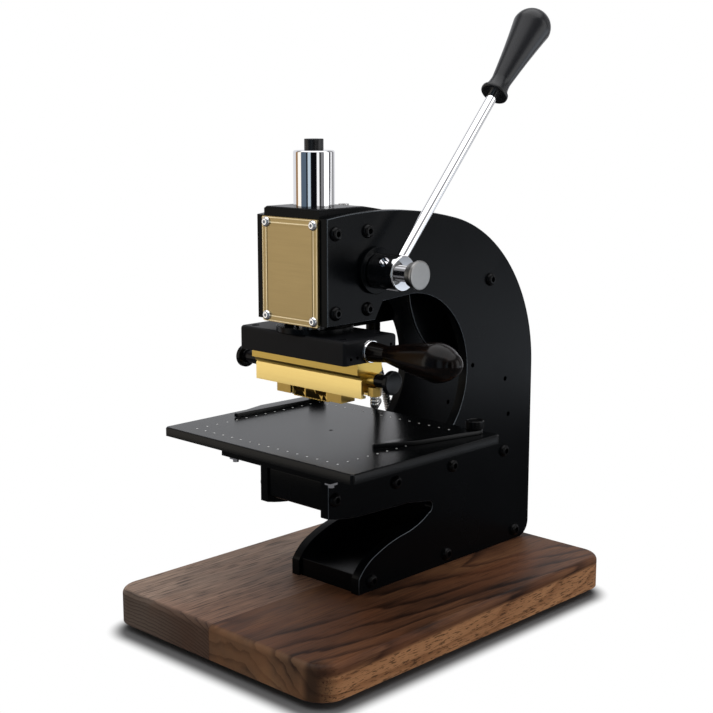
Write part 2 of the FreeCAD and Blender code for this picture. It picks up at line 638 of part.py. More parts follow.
def head_block():
    """The block that guides the column, with the pinion's chamber opening into the column's bore."""
    body = new_body("head_block")
    front = -frame.front
    top = at_rise(head.top_rise)
    pad(body, "YZ_Plane", [(front, at_rise(head.under_rise)), (head.lip_y, at_rise(head.under_rise)),
                           (head.roof_y, at_rise(head.roof_rise)), (head.slope_y, at_rise(head.roof_rise)),
                           (head.slope_y, at_rise(head.slope_rise)), (head.flat_y, top), (front, top)],
        frame.gap, offset=-half_gap)
    dress(body, "Chamfer", head.edge, lambda edge: on_plane("z", top)(edge) and not on_plane(
        "y", head.flat_y)(edge))
    bore(body, "XY_Plane", [(0, ram.axis_y)], ram.radius + running, top - at_rise(head.under_rise) + 1,
         offset=top)
    bore(body, "YZ_Plane", [(hub_axis.y, hub_z)], spigot_left + running, half_gap + gear.wide / 2 + apart,
         offset=-half_gap, reverse=True)
    bore(body, "YZ_Plane", [(hub_axis.y, hub_z)], shaft.radius + running, frame.gap, offset=half_gap)
    for way in (-1, 1):
        side_threads(body, bolt_rows[:4], way)
    bore(body, "XZ_Plane", plate_screw_places, small.radius, small.long, offset=frame.front)
    spot = at_rise(head.top_rise) - top_screw.sunk
    bore(body, "XY_Plane", [(0, top_screw.y)], top_screw.head_radius + apart, top_screw.sunk * 2,
         offset=spot + top_screw.sunk * 2)
    bore(body, "XY_Plane", [(0, top_screw.y)], top_screw.radius, top_screw.long, offset=spot)
    return keep(body)


plate = sizes_of("name_plate", width=57.5, low_rise=206.2, high_rise=283.0, thick=2.0, corner=1.5, screw_x=24.2,
                 screw_low=4.3, screw_high=4.2, border=4.0, groove=0.5, groove_pitch=1.2, engraved=0.3)
top_screw = sizes_of("top_screw", y=-27.0, head_radius=4.0, head_high=2.2, radius=2.5, long=10.0, socket=1.3,
                     sunk=2.0)
plate_screw_places = [(plate.screw_x * way, at_rise(rise))
                      for rise in (plate.low_rise + plate.screw_low, plate.high_rise - plate.screw_high)
                      for way in (-1, 1)]


def name_plate():
    """A bare plate with a double engraved border."""
    body = new_body("name_plate")
    half = plate.width / 2
    low = at_rise(plate.low_rise)
    high = at_rise(plate.high_rise)
    pad(body, "XZ_Plane", rectangle(-half, low, half, high, plate.corner), plate.thick, offset=frame.front)
    face = frame.front + plate.thick
    for step in (0, 1):
        near = plate.border + plate.groove_pitch * step
        far = near + plate.groove
        sketch = new_sketch(body, "XZ_Plane", face)
        for inset in (near, far):
            draw(sketch, rectangle(-half + inset, low + inset, half - inset, high - inset))
        feature(body, "Pocket", sketch, plate.engraved)
    bore(body, "XZ_Plane", plate_screw_places, small.radius + running, plate.thick, offset=face)
    return keep(body)


floor_plate()
jaw_block()
tie_bars()
inner_web()
head_block()
name_plate()
small_master = button_screw("plate_screw_master", small)
keep(copies("name_plate_screws", small_master, [(x, -frame.front - plate.thick, z)
                                                for x, z in plate_screw_places], "front"))
screw_master = button_screw("frame_screw_master", screw)
for side_word, way in (("left", -1), ("right", 1)):
    keep(copies("frame_screws_" + side_word, screw_master, [(outer_x * way, y, at_rise(rise))
                                                            for y, rise in bolt_rows], side_word))
top_screw_body = cap_screw("head_top_screw", top_screw.radius, top_screw.head_radius, top_screw.head_high,
                           top_screw.long, top_screw.socket)
keep(put(top_screw_body, 0, top_screw.y, at_rise(head.top_rise) - top_screw.sunk))


# Bearings of the pinion shaft: a flange on the right, and the drum of the return spring on the left

def bearing_flange():
    bore_radius = shaft.radius + running
    body = turned("bearing_flange_right", [(bore_radius, -frame.plate + apart), (flange.spigot,
                                                                                 -frame.plate + apart),
                                           (flange.spigot, 0), (flange.radius, 0),
                                           (flange.radius, flange.thick - flange.edge),
                                           (flange.radius - flange.edge, flange.thick),
                                           (bore_radius, flange.thick)])
    return keep(put(body, outer_x, hub_axis.y, hub_z, "right"))


def spring_drum():
    """Left bearing: a spigot that closes the pinion's chamber, and a drum outside the plate."""
    bore_radius = shaft.radius + running
    inner_end = outer_x - ram.radius - apart * 3
    body = turned("spring_drum", [(bore_radius, -inner_end), (spigot_left, -inner_end), (spigot_left, 0),
                                  (drum.radius, 0), (drum.radius, drum.deep), (drum.radius - drum.wall,
                                                                              drum.deep),
                                  (drum.radius - drum.wall, drum.floor), (bore_radius, drum.floor)])
    return keep(put(body, -outer_x, hub_axis.y, hub_z, "left"))


def drum_cover():
    hole = shaft.radius + running
    body = turned("spring_drum_cover", [(hole, 0), (drum.radius, 0), (drum.radius, drum.cover - drum.edge),
                                        (drum.radius - drum.edge, drum.cover), (hole, drum.cover)])
    return keep(put(body, -outer_x - drum.deep, hub_axis.y, hub_z, "left"))


def return_spring():
    """A clock spring: one strip in half turns whose radius grows steadily, hooked in the drum's wall."""
    start = shaft.radius.value + coil.start_gap.value
    step = coil.pitch.value / 2
    strip = coil.strip.value
    sides = []
    for extra in (0, strip):
        radius = start + extra
        centre = 0.0
        arcs = []
        for turn in range(int(coil.turns.value * 2)):
            way = 1 if turn % 2 == 0 else -1
            from_point = Vector(centre + radius * way, 0, 0)
            to_point = Vector(centre - radius * way, 0, 0)
            crown_point = Vector(centre, radius * way, 0)
            arcs.append(Part.Arc(from_point, crown_point, to_point).toShape())
            centre += step / 2 * way
            radius += step / 2
        sides.append(arcs)
    inner, outer = sides
    edges = inner + [Part.LineSegment(inner[-1].valueAt(inner[-1].LastParameter),
                                      outer[-1].valueAt(outer[-1].LastParameter)).toShape()]
    edges += outer + [Part.LineSegment(inner[0].valueAt(inner[0].FirstParameter),
                                       outer[0].valueAt(outer[0].FirstParameter)).toShape()]
    face = Part.Face(Part.Wire(Part.__sortEdges__(edges)))
    item = doc.addObject("Part::Feature", "return_spring")
    item.Label = "return_spring"
    item.Shape = face.extrude(Vector(0, 0, coil.wide.value))
    gap = coil.pitch.value - strip
    print("least gap between the turns of the return spring: %.2f mm" % gap)
    return keep(put(item, -outer_x - drum.floor - apart, hub_axis.y, hub_z, "left"))


bearing_flange()
spring_drum()
drum_cover()
return_spring()


# The lever: pinion, shaft, hub, rod and grip

def involute(angle):
    return math.tan(angle) - angle


def pinion():
    """A spur gear: each space is cut with flanks between the involute's base and tip points."""
    teeth = int(gear.teeth.value)
    pressure = math.radians(gear.pressure.value)
    base_radius = pitch_radius * math.cos(pressure)
    half_space = math.pi / (2 * teeth) + gear.thinning.value / 2 / pitch_radius.value
    body = new_body("pinion")
    stud(body, "XY_Plane", [(0, 0)], tip_radius, gear.wide, offset=-gear.wide / 2)
    bore(body, "XY_Plane", [(0, 0)], shaft.radius, gear.wide, offset=gear.wide / 2)
    outside = tip_radius + gear.cut_beyond
    tip_angle = math.acos(base_radius.value / outside.value)
    wide_angle = half_space + involute(tip_angle) - involute(pressure)
    narrow_angle = half_space - involute(pressure)
    root = pitch_radius - gear.module - gear.tip_gap
    corners = [(root * math.cos(narrow_angle), -(root * math.sin(narrow_angle))),
               (base_radius * math.cos(narrow_angle), -(base_radius * math.sin(narrow_angle))),
               (outside * math.cos(wide_angle), -(outside * math.sin(wide_angle))),
               (outside * math.cos(wide_angle), outside * math.sin(wide_angle)),
               (base_radius * math.cos(narrow_angle), base_radius * math.sin(narrow_angle)),
               (root * math.cos(narrow_angle), root * math.sin(narrow_angle))]
    cut = pocket(body, "XY_Plane", corners, gear.wide, offset=gear.wide / 2)
    pattern = body.newObject("PartDesign::PolarPattern", "pinion_teeth")
    pattern.Originals = [cut]
    axis = [item for item in body.Origin.OriginFeatures if item.Role == "Z_Axis"][0]
    pattern.Axis = (axis, [""])
    pattern.Angle = 360
    pattern.Occurrences = teeth
    body.Tip = pattern
    item = keep(put(body, 0, hub_axis.y, hub_z, "right"))
    quarter = Rotation(Vector(0, 0, 1), 90)
    item.Placement = Placement(item.Placement.Base, item.Placement.Rotation.multiply(quarter))
    return item


def pinion_shaft():
    left = outer_x + drum.deep - apart
    right = lever.at_x - lever.rod_radius - shaft.end_gap
    body = turned("pinion_shaft", [(0, -left), (shaft.radius - shaft.edge, -left),
                                   (shaft.radius, -left + shaft.edge), (shaft.radius, right), (0, right)])
    return keep(put(body, 0, hub_axis.y, hub_z, "right"))


def lever_hub():
    """The hub on the shaft, with one hole for the rod and a second one square to it."""
    long = hub.long
    whole = long + hub.neck_long
    edge = hub.edge
    body = turned("lever_hub", [(0, 0), (hub.radius - edge, 0), (hub.radius, edge), (hub.radius, long - edge),
                                (hub.radius - edge, long), (hub.neck_radius, long), (hub.neck_radius, whole),
                                (0, whole)])
    rod_at = lever.at_x - hub.start_x
    bore(body, "XY_Plane", [(0, 0)], shaft.radius, rod_at - lever.rod_radius - shaft.end_gap, reverse=True)
    bore(body, "XY_Plane", [(0, 0)], knob.stud + running, knob.stud_long + 1, offset=whole)
    bore(body, "YZ_Plane", [(0, rod_at)], lever.rod_radius, hub.radius + lever.tail, offset=-lever.tail,
         reverse=True)
    bore(body, "XZ_Plane", [(0, rod_at)], lever.rod_radius + running,
         hub.radius - lever.rod_radius - spare_floor, offset=-hub.radius, reverse=True)
    item = put(body, hub.start_x, hub_axis.y, hub_z, "right")
    lean = Rotation(Vector(0, 0, 1), 180 - lever.lean.value)
    item.Placement = Placement(item.Placement.Base, item.Placement.Rotation.multiply(lean))
    return keep(item)


def along_lever(item, distance=0):
    return put(item, lever.at_x, hub_axis.y + sine(lever.lean) * distance,
               hub_z + cosine(lever.lean) * distance, angle=(Vector(1, 0, 0), -lever.lean))


def lever_rod():
    end = grip.collar_at + grip.collar_long + grip.bore_deep
    edge = lever.rod_edge
    body = turned("lever_rod", [(0, -lever.tail), (lever.rod_radius, -lever.tail),
                                (lever.rod_radius, end - edge), (lever.rod_radius - edge, end), (0, end)])
    return keep(along_lever(body))


def grip_collar():
    inner = lever.rod_radius
    outer = grip.collar_radius
    top = grip.collar_at + grip.collar_long
    edge = grip.collar_edge
    body = turned("grip_collar", [(inner, grip.collar_at), (outer - edge, grip.collar_at),
                                  (outer, grip.collar_at + edge), (outer, top - edge), (outer - edge, top),
                                  (inner, top)])
    return keep(along_lever(body))


def lever_grip():
    """A turned pear-shaped grip, bored for the rod."""
    foot_at = grip.collar_at + grip.collar_long
    inner = lever.rod_radius
    end = foot_at + grip.bore_deep
    body = turned("lever_grip", [(inner, foot_at), (grip.foot_radius, foot_at),
                                 Via((grip.foot_radius + grip.neck_radius) / 2 - grip.foot_hollow,
                                     (foot_at + grip.neck_at) / 2), (grip.neck_radius, grip.neck_at),
                                 Via(grip.swell_radius, grip.swell_at), (grip.widest_radius, grip.widest_at),
                                 Via(grip.widest_radius * eighth, grip.widest_at + grip.widest_radius * eighth),
                                 (0, grip.widest_at + grip.widest_radius), (0, end), (inner, end)])
    return keep(along_lever(body))


def hub_knob():
    """The knurled knob that clamps the rod, with its stud in the hub's neck."""
    edge = knob.edge
    flare_end = knob.flare_at + knob.radius - knob.grip_radius
    body = turned("hub_knob", [(0, -knob.stud_long), (knob.stud, -knob.stud_long), (knob.stud, 0),
                               (knob.grip_radius - edge, 0), (knob.grip_radius, edge),
                               (knob.grip_radius, knob.flare_at), (knob.radius, flare_end),
                               (knob.radius, knob.long - edge), (knob.radius - edge, knob.long),
                               (0, knob.long)])
    return keep(put(body, hub.start_x + hub.long + hub.neck_long + apart, hub_axis.y, hub_z, "right"))


pinion()
pinion_shaft()
lever_hub()
lever_rod()
grip_collar()
lever_grip()
hub_knob()


# The ram with its rack, flange, insulator and heated plates

def ram_column():
    """The column: its lower end is a spigot in the flange, and the rack is cut in its rear side."""
    low = at_rise(ram.foot_rise)
    top = at_rise(ram.top_rise)
    hole_low = top - low - cap.stud_long - cap.stud_gap
    body = turned("ram", [(0, -disc.thick), (ram.spigot, -disc.thick), (ram.spigot, 0), (ram.radius, 0),
                          (ram.radius, top - low - ram.edge), Via(ram.radius - ram.edge * corner_cut,
                                                                  top - low - ram.edge * corner_cut),
                          (ram.radius - ram.edge, top - low), (cap.stud, top - low),
                          (cap.stud, hole_low), (0, hole_low)])
    tip = rack_line - ram.axis_y + gear.module
    root = rack_line - ram.axis_y - gear.module - gear.tip_gap
    first = hub_z - low - tooth_pitch * (rack_below + 0.5)
    flat_low = first - tooth_pitch * 0.75
    flat_high = first + tooth_pitch * (rack_spaces - 0.25)
    pocket(body, "YZ_Plane", rectangle(tip, flat_low, ram.radius + 1, flat_high), ram.radius * 2,
           offset=ram.radius)
    slope = math.tan(math.radians(gear.pressure.value))
    half_pitch = tooth_pitch / 4 + gear.thinning / 2
    half_root = half_pitch - (gear.module + gear.tip_gap) * slope
    beyond = gear.cut_beyond
    half_tip = half_pitch + (gear.module + beyond) * slope
    cut = pocket(body, "YZ_Plane", [(root, first - half_root), (tip + beyond, first - half_tip),
                                    (tip + beyond, first + half_tip), (root, first + half_root)],
                 ram.radius * 2, offset=ram.radius)
    pattern = body.newObject("PartDesign::LinearPattern", "rack_teeth")
    pattern.Originals = [cut]
    axis = [item for item in body.Origin.OriginFeatures if item.Role == "Z_Axis"][0]
    pattern.Direction = (axis, [""])
    pattern.Occurrences = rack_spaces
    pattern.Length = number(tooth_pitch) * (rack_spaces - 1)
    bind(pattern, "Length", tooth_pitch * (rack_spaces - 1))
    body.Tip = pattern
    return keep(put(body, 0, ram.axis_y, low))


def ram_cap():
    high = cap.high
    body = turned("ram_cap", [(0, -cap.stud_long), (cap.stud, -cap.stud_long), (cap.stud, 0), (cap.radius, 0),
                              (cap.radius, high - cap.edge), Via(cap.radius - cap.edge * corner_cut,
                                                                 high - cap.edge * corner_cut),
                              (cap.radius - cap.edge, high), (0, high)])
    return keep(put(body, 0, ram.axis_y, at_rise(ram.top_rise)))


def ram_flange():
    hole = ram.spigot
    body = turned("ram_flange", [(hole, 0), (disc.radius, 0), (disc.radius, disc.thick - disc.edge),
                                 (disc.radius - disc.edge, disc.thick), (hole, disc.thick)])
    bore(body, "XY_Plane", flange_screw_spots, flange_screw.radius + running, disc.thick, offset=disc.thick)
    return keep(put(body, 0, ram.axis_y, block_top))


flange_screw = sizes_of("flange_screw", radius=2.0, head_radius=3.5, head_high=3.2, long=14.0, socket=1.5)
rack_spaces = 10
rack_below = 1
block_top = at_rise(ram.foot_rise) - disc.thick
flange_screw_spots = [(disc.screw_circle, 0), (disc.screw_circle * -0.5, disc.screw_circle * root_three),
                      (disc.screw_circle * -0.5, disc.screw_circle * -root_three)]
ram_column()
ram_cap()
ram_flange()
flange_screw_body = cap_screw("flange_screw_master", flange_screw.radius, flange_screw.head_radius,
                              flange_screw.head_high, flange_screw.long, flange_screw.socket)
keep(copies("flange_screws", flange_screw_body, [(x, ram.axis_y + y, block_top + disc.thick)
                                                 for x, y in flange_screw_spots], "up"))

tiny_places = [(tiny.x * way, y) for way in (-1, 1) for y in (tiny.front_y, tiny.back_y)]


def insulator_block():
    body = new_body("insulator_block")
    half = block.width / 2
    low = at_rise(block.under_rise)
    pad(body, "XY_Plane", rectangle(-half, block.front_y, half, block.back_y), block_top - low, offset=low)
    dress(body, "Fillet", block.edge, lambda edge: not on_plane("z", low)(edge))
    spots = [(x, ram.axis_y + y) for x, y in flange_screw_spots]
    bore(body, "XY_Plane", spots, flange_screw.radius, flange_screw.long - disc.thick + 1, offset=block_top)
    sunk = tiny.head_high + tiny.sunk
    bore(body, "XY_Plane", tiny_places, tiny.head_radius + running, sunk, offset=block_top)
    bore(body, "XY_Plane", tiny_places, tiny.radius + running, block_top - low, offset=block_top)
    bore(body, "YZ_Plane", [(y, at_rise(rise)) for y, rise in side_holes], block.hole, block.hole_deep,
         offset=half)
    bore(body, "YZ_Plane", [(ram.axis_y, at_rise(side.rise))], side.stud, side.stud_in, offset=half)
    return keep(body)


def heating_plate():
    """The upper gold plate, coved along both lower edges, with two blind bores for the cartridges."""
    body = new_body("heating_plate")
    low = at_rise(hot.under_rise)
    top = at_rise(block.under_rise)
    ease = hot.cove * eighth
    front_low = hot.front_y + hot.cove
    back_low = hot.back_y - hot.cove
    pad(body, "YZ_Plane", [(hot.front_y, top), (hot.front_y, low + hot.cove),
                           Via(hot.front_y + ease, low + ease), (front_low, low), (back_low, low),
                           Via(hot.back_y - ease, low + ease), (hot.back_y, low + hot.cove), (hot.back_y, top)],
        hot.width, offset=-(hot.width / 2))
    places = [(ram.axis_y + rod.half_pitch * way, at_rise(rod.rise)) for way in (-1, 1)]
    bore(body, "YZ_Plane", places, rod.radius + running, rod.long + 1, offset=-(hot.width / 2), reverse=True)
    stud(body, "YZ_Plane", [(ram.axis_y, at_rise(clamp.rise))], clamp.neck_radius, clamp.boss,
         offset=hot.width / 2)
    clamp_studs(body, hot.width / 2)
    return keep(body)


def clamp_studs(body, face):
    """The bores of the two clamp knobs' studs, between the plates and through the right boss."""
    spot = [(ram.axis_y, at_rise(clamp.rise))]
    bore(body, "YZ_Plane", spot, clamp.stud + running, clamp.stud_long + 1, offset=-face, reverse=True)
    bore(body, "YZ_Plane", spot, clamp.stud + running, clamp.stud_long + clamp.boss + 1,
         offset=face + clamp.boss)


def heater_block():
    """The lower gold block with a T-slot along X for the type holder."""
    body = new_body("heater_block")
    low = at_rise(heater.under_rise)
    high = at_rise(hot.under_rise)
    seam = high - heater.seam
    middle = ram.axis_y
    neck_low = middle - slot.half_neck
    neck_high = middle + slot.half_neck
    wide_low = middle - slot.half_wide
    wide_high = middle + slot.half_wide
    front = heater.front_y
    back = heater.back_y
    edge = heater.top_edge
    pad(body, "YZ_Plane", [(front, low), (neck_low, low), (neck_low, low + slot.lip),
                           (wide_low, low + slot.lip), (wide_low, low + slot.deep), (wide_high, low + slot.deep),
                           (wide_high, low + slot.lip), (neck_high, low + slot.lip), (neck_high, low),
                           (back, low), (back, seam - edge), (back - edge, seam), (back - edge, high),
                           (front + edge, high), (front + edge, seam), (front, seam - edge)],
        heater.width, offset=-(heater.width / 2))
    clamp_studs(body, heater.width / 2)
    bore(body, "YZ_Plane", [(middle, plug_stub_rise)], plug.stub, plug.stub_deep, offset=heater.width / 2)
    return keep(body)


def cartridge_heaters():
    master = turned("cartridge_master", [(0, 0), (rod.radius, 0), (rod.radius, rod.long), (0, rod.long)])
    places = [(-(hot.width / 2), ram.axis_y + rod.half_pitch * way, at_rise(rod.rise)) for way in (-1, 1)]
    return keep(copies("cartridge_heaters", master, places, "right"))


def heater_fitting():
    """The hexagon where the heater's lead leaves, on a stub from the block's right end."""
    body = new_body("heater_fitting")
    low = at_rise(plug.under_rise)
    pad(body, "XY_Plane", hexagon(plug.x, ram.axis_y, plug.across / 2), plug.high, offset=low)
    stud(body, "YZ_Plane", [(ram.axis_y, plug_stub_rise)], plug.stub, plug.x - heater.width / 2
         + plug.stub_deep, offset=plug.x, reverse=True)
    return keep(body)


def type_holder():
    """A T-bar that slides in the heater block, with a jaw at each end of the row of types."""
    body = new_body("type_holder")
    block_low = at_rise(heater.under_rise)
    middle = ram.axis_y
    tee = [(middle - slot.half_neck + apart, block_low - apart),
           (middle - slot.half_neck + apart, block_low + slot.lip + apart),
           (middle - slot.half_wide + apart, block_low + slot.lip + apart),
           (middle - slot.half_wide + apart, block_low + slot.deep - apart),
           (middle + slot.half_wide - apart, block_low + slot.deep - apart),
           (middle + slot.half_wide - apart, block_low + slot.lip + apart),
           (middle + slot.half_neck - apart, block_low + slot.lip + apart),
           (middle + slot.half_neck - apart, block_low - apart)]
    pad(body, "YZ_Plane", tee, holder.half_long * 2, offset=-holder.half_long)
    for way in (-1, 1):
        pad(body, "YZ_Plane", rectangle(middle - holder.half_deep, at_rise(holder.under_rise),
                                        middle + holder.half_deep, block_low - apart),
            holder.jaw_long, offset=holder.half_long * way, reverse=way > 0)
    return keep(body)


def type_row():
    """Blank types side by side under the T-bar, each with a narrower face."""
    count = int(types.count.value)
    high = at_rise(heater.under_rise) - apart - at_rise(types.under_rise)
    master = new_body("type_master")
    half = types.wide / 2
    half_deep = types.deep / 2
    pad(master, "XY_Plane", rectangle(-half, -half_deep, half, half_deep), high - types.face_high,
        offset=types.face_high)
    pad(master, "XY_Plane", rectangle(-half + types.face, -half_deep + types.face_end, half - types.face,
                                      half_deep - types.face_end), types.face_high)
    places = [(types.wide * (order - (count - 1) / 2), ram.axis_y, at_rise(types.under_rise))
              for order in range(count)]
    return keep(copies("types", master, places, "up"))


def clamp_knob(side_word, way, start):
    """A disc on a neck that starts at a distance from the plates' end, with its stud in the plates."""
    name = "clamp_knob_" + side_word
    edge = clamp.edge
    end = clamp.neck_long + clamp.disc_long
    body = turned(name, [(0, -clamp.stud_long), (clamp.stud, -clamp.stud_long), (clamp.stud, start),
                         (clamp.neck_radius, start), (clamp.neck_radius, clamp.neck_long),
                         (clamp.disc_radius - edge, clamp.neck_long),
                         (clamp.disc_radius, clamp.neck_long + edge), (clamp.disc_radius, end - edge),
                         (clamp.disc_radius - edge, end), (0, end)])
    return keep(put(body, (hot.width / 2 + apart) * way, ram.axis_y, at_rise(clamp.rise), side_word))


def side_handle():
    """A turned wooden handle on a stud, behind a plain ferrule."""
    face = block.width / 2
    start = face + side.collar_long
    inner = side.stud
    end = side.stud_out
    centre = side.end_x - root_of(side.ball * side.ball - side.end_radius * side.end_radius)
    half_turn = math.asin(side.end_radius.value / side.ball.value) / 2
    body = turned("side_handle", [(inner, start), (side.foot_radius, start),
                                  Via(side.neck_radius + side.neck_ease, (start + side.neck_x * 3) / 4),
                                  (side.neck_radius, side.neck_x), Via(side.swell_radius, side.swell_x),
                                  (side.bulb_radius, side.bulb_x), Via(side.round_radius, side.round_x),
                                  (side.end_radius, side.end_x),
                                  Via(side.ball * math.sin(half_turn),
                                      centre + side.ball * math.cos(half_turn)),
                                  (0, centre + side.ball), (0, face + end), (inner, face + end)])
    keep(put(body, 0, ram.axis_y, at_rise(side.rise), "right"))
    ferrule = turned("handle_ferrule", [(inner, 0), (side.collar_radius, 0),
                                        (side.collar_radius, side.collar_long - side.collar_edge),
                                        (side.collar_radius - side.collar_edge, side.collar_long),
                                        (inner, side.collar_long)])
    keep(put(ferrule, face, ram.axis_y, at_rise(side.rise), "right"))
    pin = turned("handle_stud", [(0, -side.stud_in), (inner, -side.stud_in), (inner, end), (0, end)])
    return keep(put(pin, face, ram.axis_y, at_rise(side.rise), "right"))


plug_stub_rise = at_rise(plug.under_rise) + plug.high * 0.55
insulator_block()
tiny_body = cap_screw("insulator_screw_master", tiny.radius, tiny.head_radius, tiny.head_high,
                      block_top - at_rise(block.under_rise) - tiny.head_high - tiny.sunk, tiny.socket)
keep(copies("insulator_screws", tiny_body, [(x, y, block_top - tiny.head_high - tiny.sunk)
                                            for x, y in tiny_places], "up"))
heating_plate()
heater_block()
cartridge_heaters()
heater_fitting()
type_holder()
type_row()
clamp_knob("left", -1, 0)
clamp_knob("right", 1, clamp.boss)
side_handle()


# The sliding work table and its two swinging guides

table_top = at_rise(table.top_rise)
table_low = table_top - table.thick


def table_plate():
    body = new_body("table_plate")
    half = table.width / 2
    pad(body, "XY_Plane", rectangle(-half, table.front_y, half, table.back_y, table.corner), table.thick,
        offset=table_low)
    dress(body, "Chamfer", table.edge, on_plane("z", table_top))
    bore(body, "XY_Plane", [(0, table.hole_y)], table.hole, table.hole_deep, offset=table_top)
    bore(body, "XY_Plane", [(guide.pivot_x * way, guide.pivot_y) for way in (-1, 1)], thumb.stud + running,
         thumb.in_table + thumb.end_gap, offset=table_top)
    bore(body, "XY_Plane", [(knurl.x * way, knurl.y) for way in (-1, 1)] + [(knurl.end_x * way, knurl.end_y)
                                                                            for way in (-1, 1)],
         knurl.radius, knurl.in_table, offset=table_low, reverse=True)
    return keep(body)


def under_plate():
    """The plate under the table, with a tongue that slides between the side plates."""
    body = new_body("under_plate")
    half = under.width / 2
    low = at_rise(jaw.top_rise) + apart
    pad(body, "XY_Plane", rectangle(-half, under.front_y, half, under.back_y), table_low - low, offset=low)
    tongue = half_gap - under.side_gap
    pad(body, "XY_Plane", rectangle(-tongue, under.tongue_front_y, tongue, under.back_y),
        under.tongue_deep + under.overlap, offset=low + under.overlap, reverse=True)
    bore(body, "XY_Plane", [(knurl.x * way, knurl.y) for way in (-1, 1)], knurl.radius + running,
         table_low - low, offset=table_low)
    return keep(body)


def table_screws():
    """Two flanged screws up through the under plate, and two short ones beside them."""
    low = at_rise(jaw.top_rise) + apart
    reach = table_low - low + knurl.in_table
    long_one = turned("table_screw_master", [(0, -knurl.nose_long - knurl.head_high),
                                             (knurl.nose_radius, -knurl.nose_long - knurl.head_high),
                                             (knurl.nose_radius, -knurl.head_high),
                                             (knurl.head_radius, -knurl.head_high), (knurl.head_radius, 0),
                                             (knurl.radius, 0), (knurl.radius, reach), (0, reach)])
    short_one = turned("table_end_screw_master", [(0, -knurl.end_high), (knurl.end_radius - knurl.end_edge,
                                                                          -knurl.end_high),
                                                  (knurl.end_radius, -knurl.end_high + knurl.end_edge),
                                                  (knurl.end_radius, 0), (knurl.radius, 0),
                                                  (knurl.radius, knurl.in_table), (0, knurl.in_table)])
    links = []
    for master, x, y, z in ((long_one, knurl.x, knurl.y, low),
                            (short_one, knurl.end_x, knurl.end_y, table_low)):
        for way in (-1, 1):
            link = doc.addObject("App::Link", "table_screw_%d" % (len(links) + 1))
            link.LinkedObject = master
            link.LinkTransform = False
            links.append(put(link, x * way, y, z))
    group = doc.addObject("Part::Compound", "table_screws")
    group.Label = "table_screws"
    group.Links = links
    return keep(group)


def guide_bar(side_word, way, lean):
    """A flat bar with a round pivot end and a tip tapered on its outer side."""
    body = new_body("guide_" + side_word)
    half = guide.wide / 2
    inner = half * -way
    outer = half * way
    taper_at = -guide.long + guide.taper
    pad(body, "XY_Plane", [(inner, 0), Via(0, half), (outer, 0), (outer, taper_at),
                           (inner + guide.tip * way, -guide.long), (inner, -guide.long + guide.tip_edge)],
        guide.thick)
    dress(body, "Chamfer", guide.edge, on_plane("z", guide.thick))
    bore(body, "XY_Plane", [(0, 0)], thumb.stud + running, guide.thick, offset=guide.thick)
    return keep(put(body, guide.pivot_x * way, guide.pivot_y, table_top + apart,
                    angle=(Vector(0, 0, 1), lean)))


def guide_knob(side_word, way):
    name = "guide_knob_" + side_word
    edge = thumb.edge
    reach = apart * 2 + guide.thick + thumb.in_table
    body = turned(name, [(0, -reach), (thumb.stud, -reach), (thumb.stud, 0), (thumb.radius - edge, 0),
                         (thumb.radius, edge), (thumb.radius, thumb.high - edge),
                         (thumb.radius - edge, thumb.high), (0, thumb.high)])
    return keep(put(body, guide.pivot_x * way, guide.pivot_y, table_top + apart * 2 + guide.thick))


table_plate()
under_plate()
table_screws()
guide_bar("left", -1, -guide.left_lean)
guide_bar("right", 1, -guide.right_lean)
guide_knob("left", -1)
guide_knob("right", 1)


# The temperature controller on the outer side of the left plate, out of the camera's sight

control_low = at_rise(control.under_rise)
control_high = at_rise(control.top_rise)
control_face = outer_x + control.deep
knob_rise = (control_low + control_high) / 2


def controller_box():
    body = new_body("controller_box")
    pad(body, "YZ_Plane", rectangle(control.front_y, control_low, control.back_y, control_high, control.edge),
        control.deep, offset=-outer_x, reverse=True)
    bore(body, "YZ_Plane", [(tie_top.y, at_rise(tie_top.rise))], control.screw_room, screw.head_high + 1,
         offset=-outer_x)
    back = -control.back_y
    half_wide = inlet.body_wide / 2 + inlet.body_gap
    half_tall = inlet.body_tall / 2 + inlet.body_gap
    low = at_rise(inlet.rise) - half_tall
    high = at_rise(inlet.rise) + half_tall
    pocket(body, "XZ_Plane", rectangle(inlet.x - half_wide, low, inlet.x + half_wide, high),
           inlet.body_deep + inlet.end_gap, offset=back, reverse=True)
    stud(body, "XY_Plane", [(gland_x, cord.gland_y)], cord.gland_radius, cord.gland_long, offset=control_low,
         reverse=True)
    bore(body, "YZ_Plane", [(dial.y, knob_rise)], dial.stud + running, dial.stud_long, offset=-control_face,
         reverse=True)
    pocket(body, "YZ_Plane", rocker_hole(), rocker.deep, offset=-control_face, reverse=True)
    return keep(body)


def rocker_hole():
    half_wide = rocker.wide / 2 + rocker.gap
    half_tall = rocker.tall / 2 + rocker.gap
    return rectangle(rocker.y - half_wide, knob_rise - half_tall, rocker.y + half_wide, knob_rise + half_tall)


def controller_cover():
    body = new_body("controller_cover")
    pad(body, "YZ_Plane", rectangle(control.front_y, control_low, control.back_y, control_high, control.edge),
        control.cover, offset=-control_face, reverse=True)
    face = -control_face - control.cover
    dress(body, "Chamfer", size("cover_edge", 1.0), on_plane("x", face))
    bore(body, "YZ_Plane", [(dial.y, knob_rise)], dial.stud + running, control.cover, offset=face, reverse=True)
    pocket(body, "YZ_Plane", rocker_hole(), control.cover, offset=face, reverse=True)
    return keep(body)


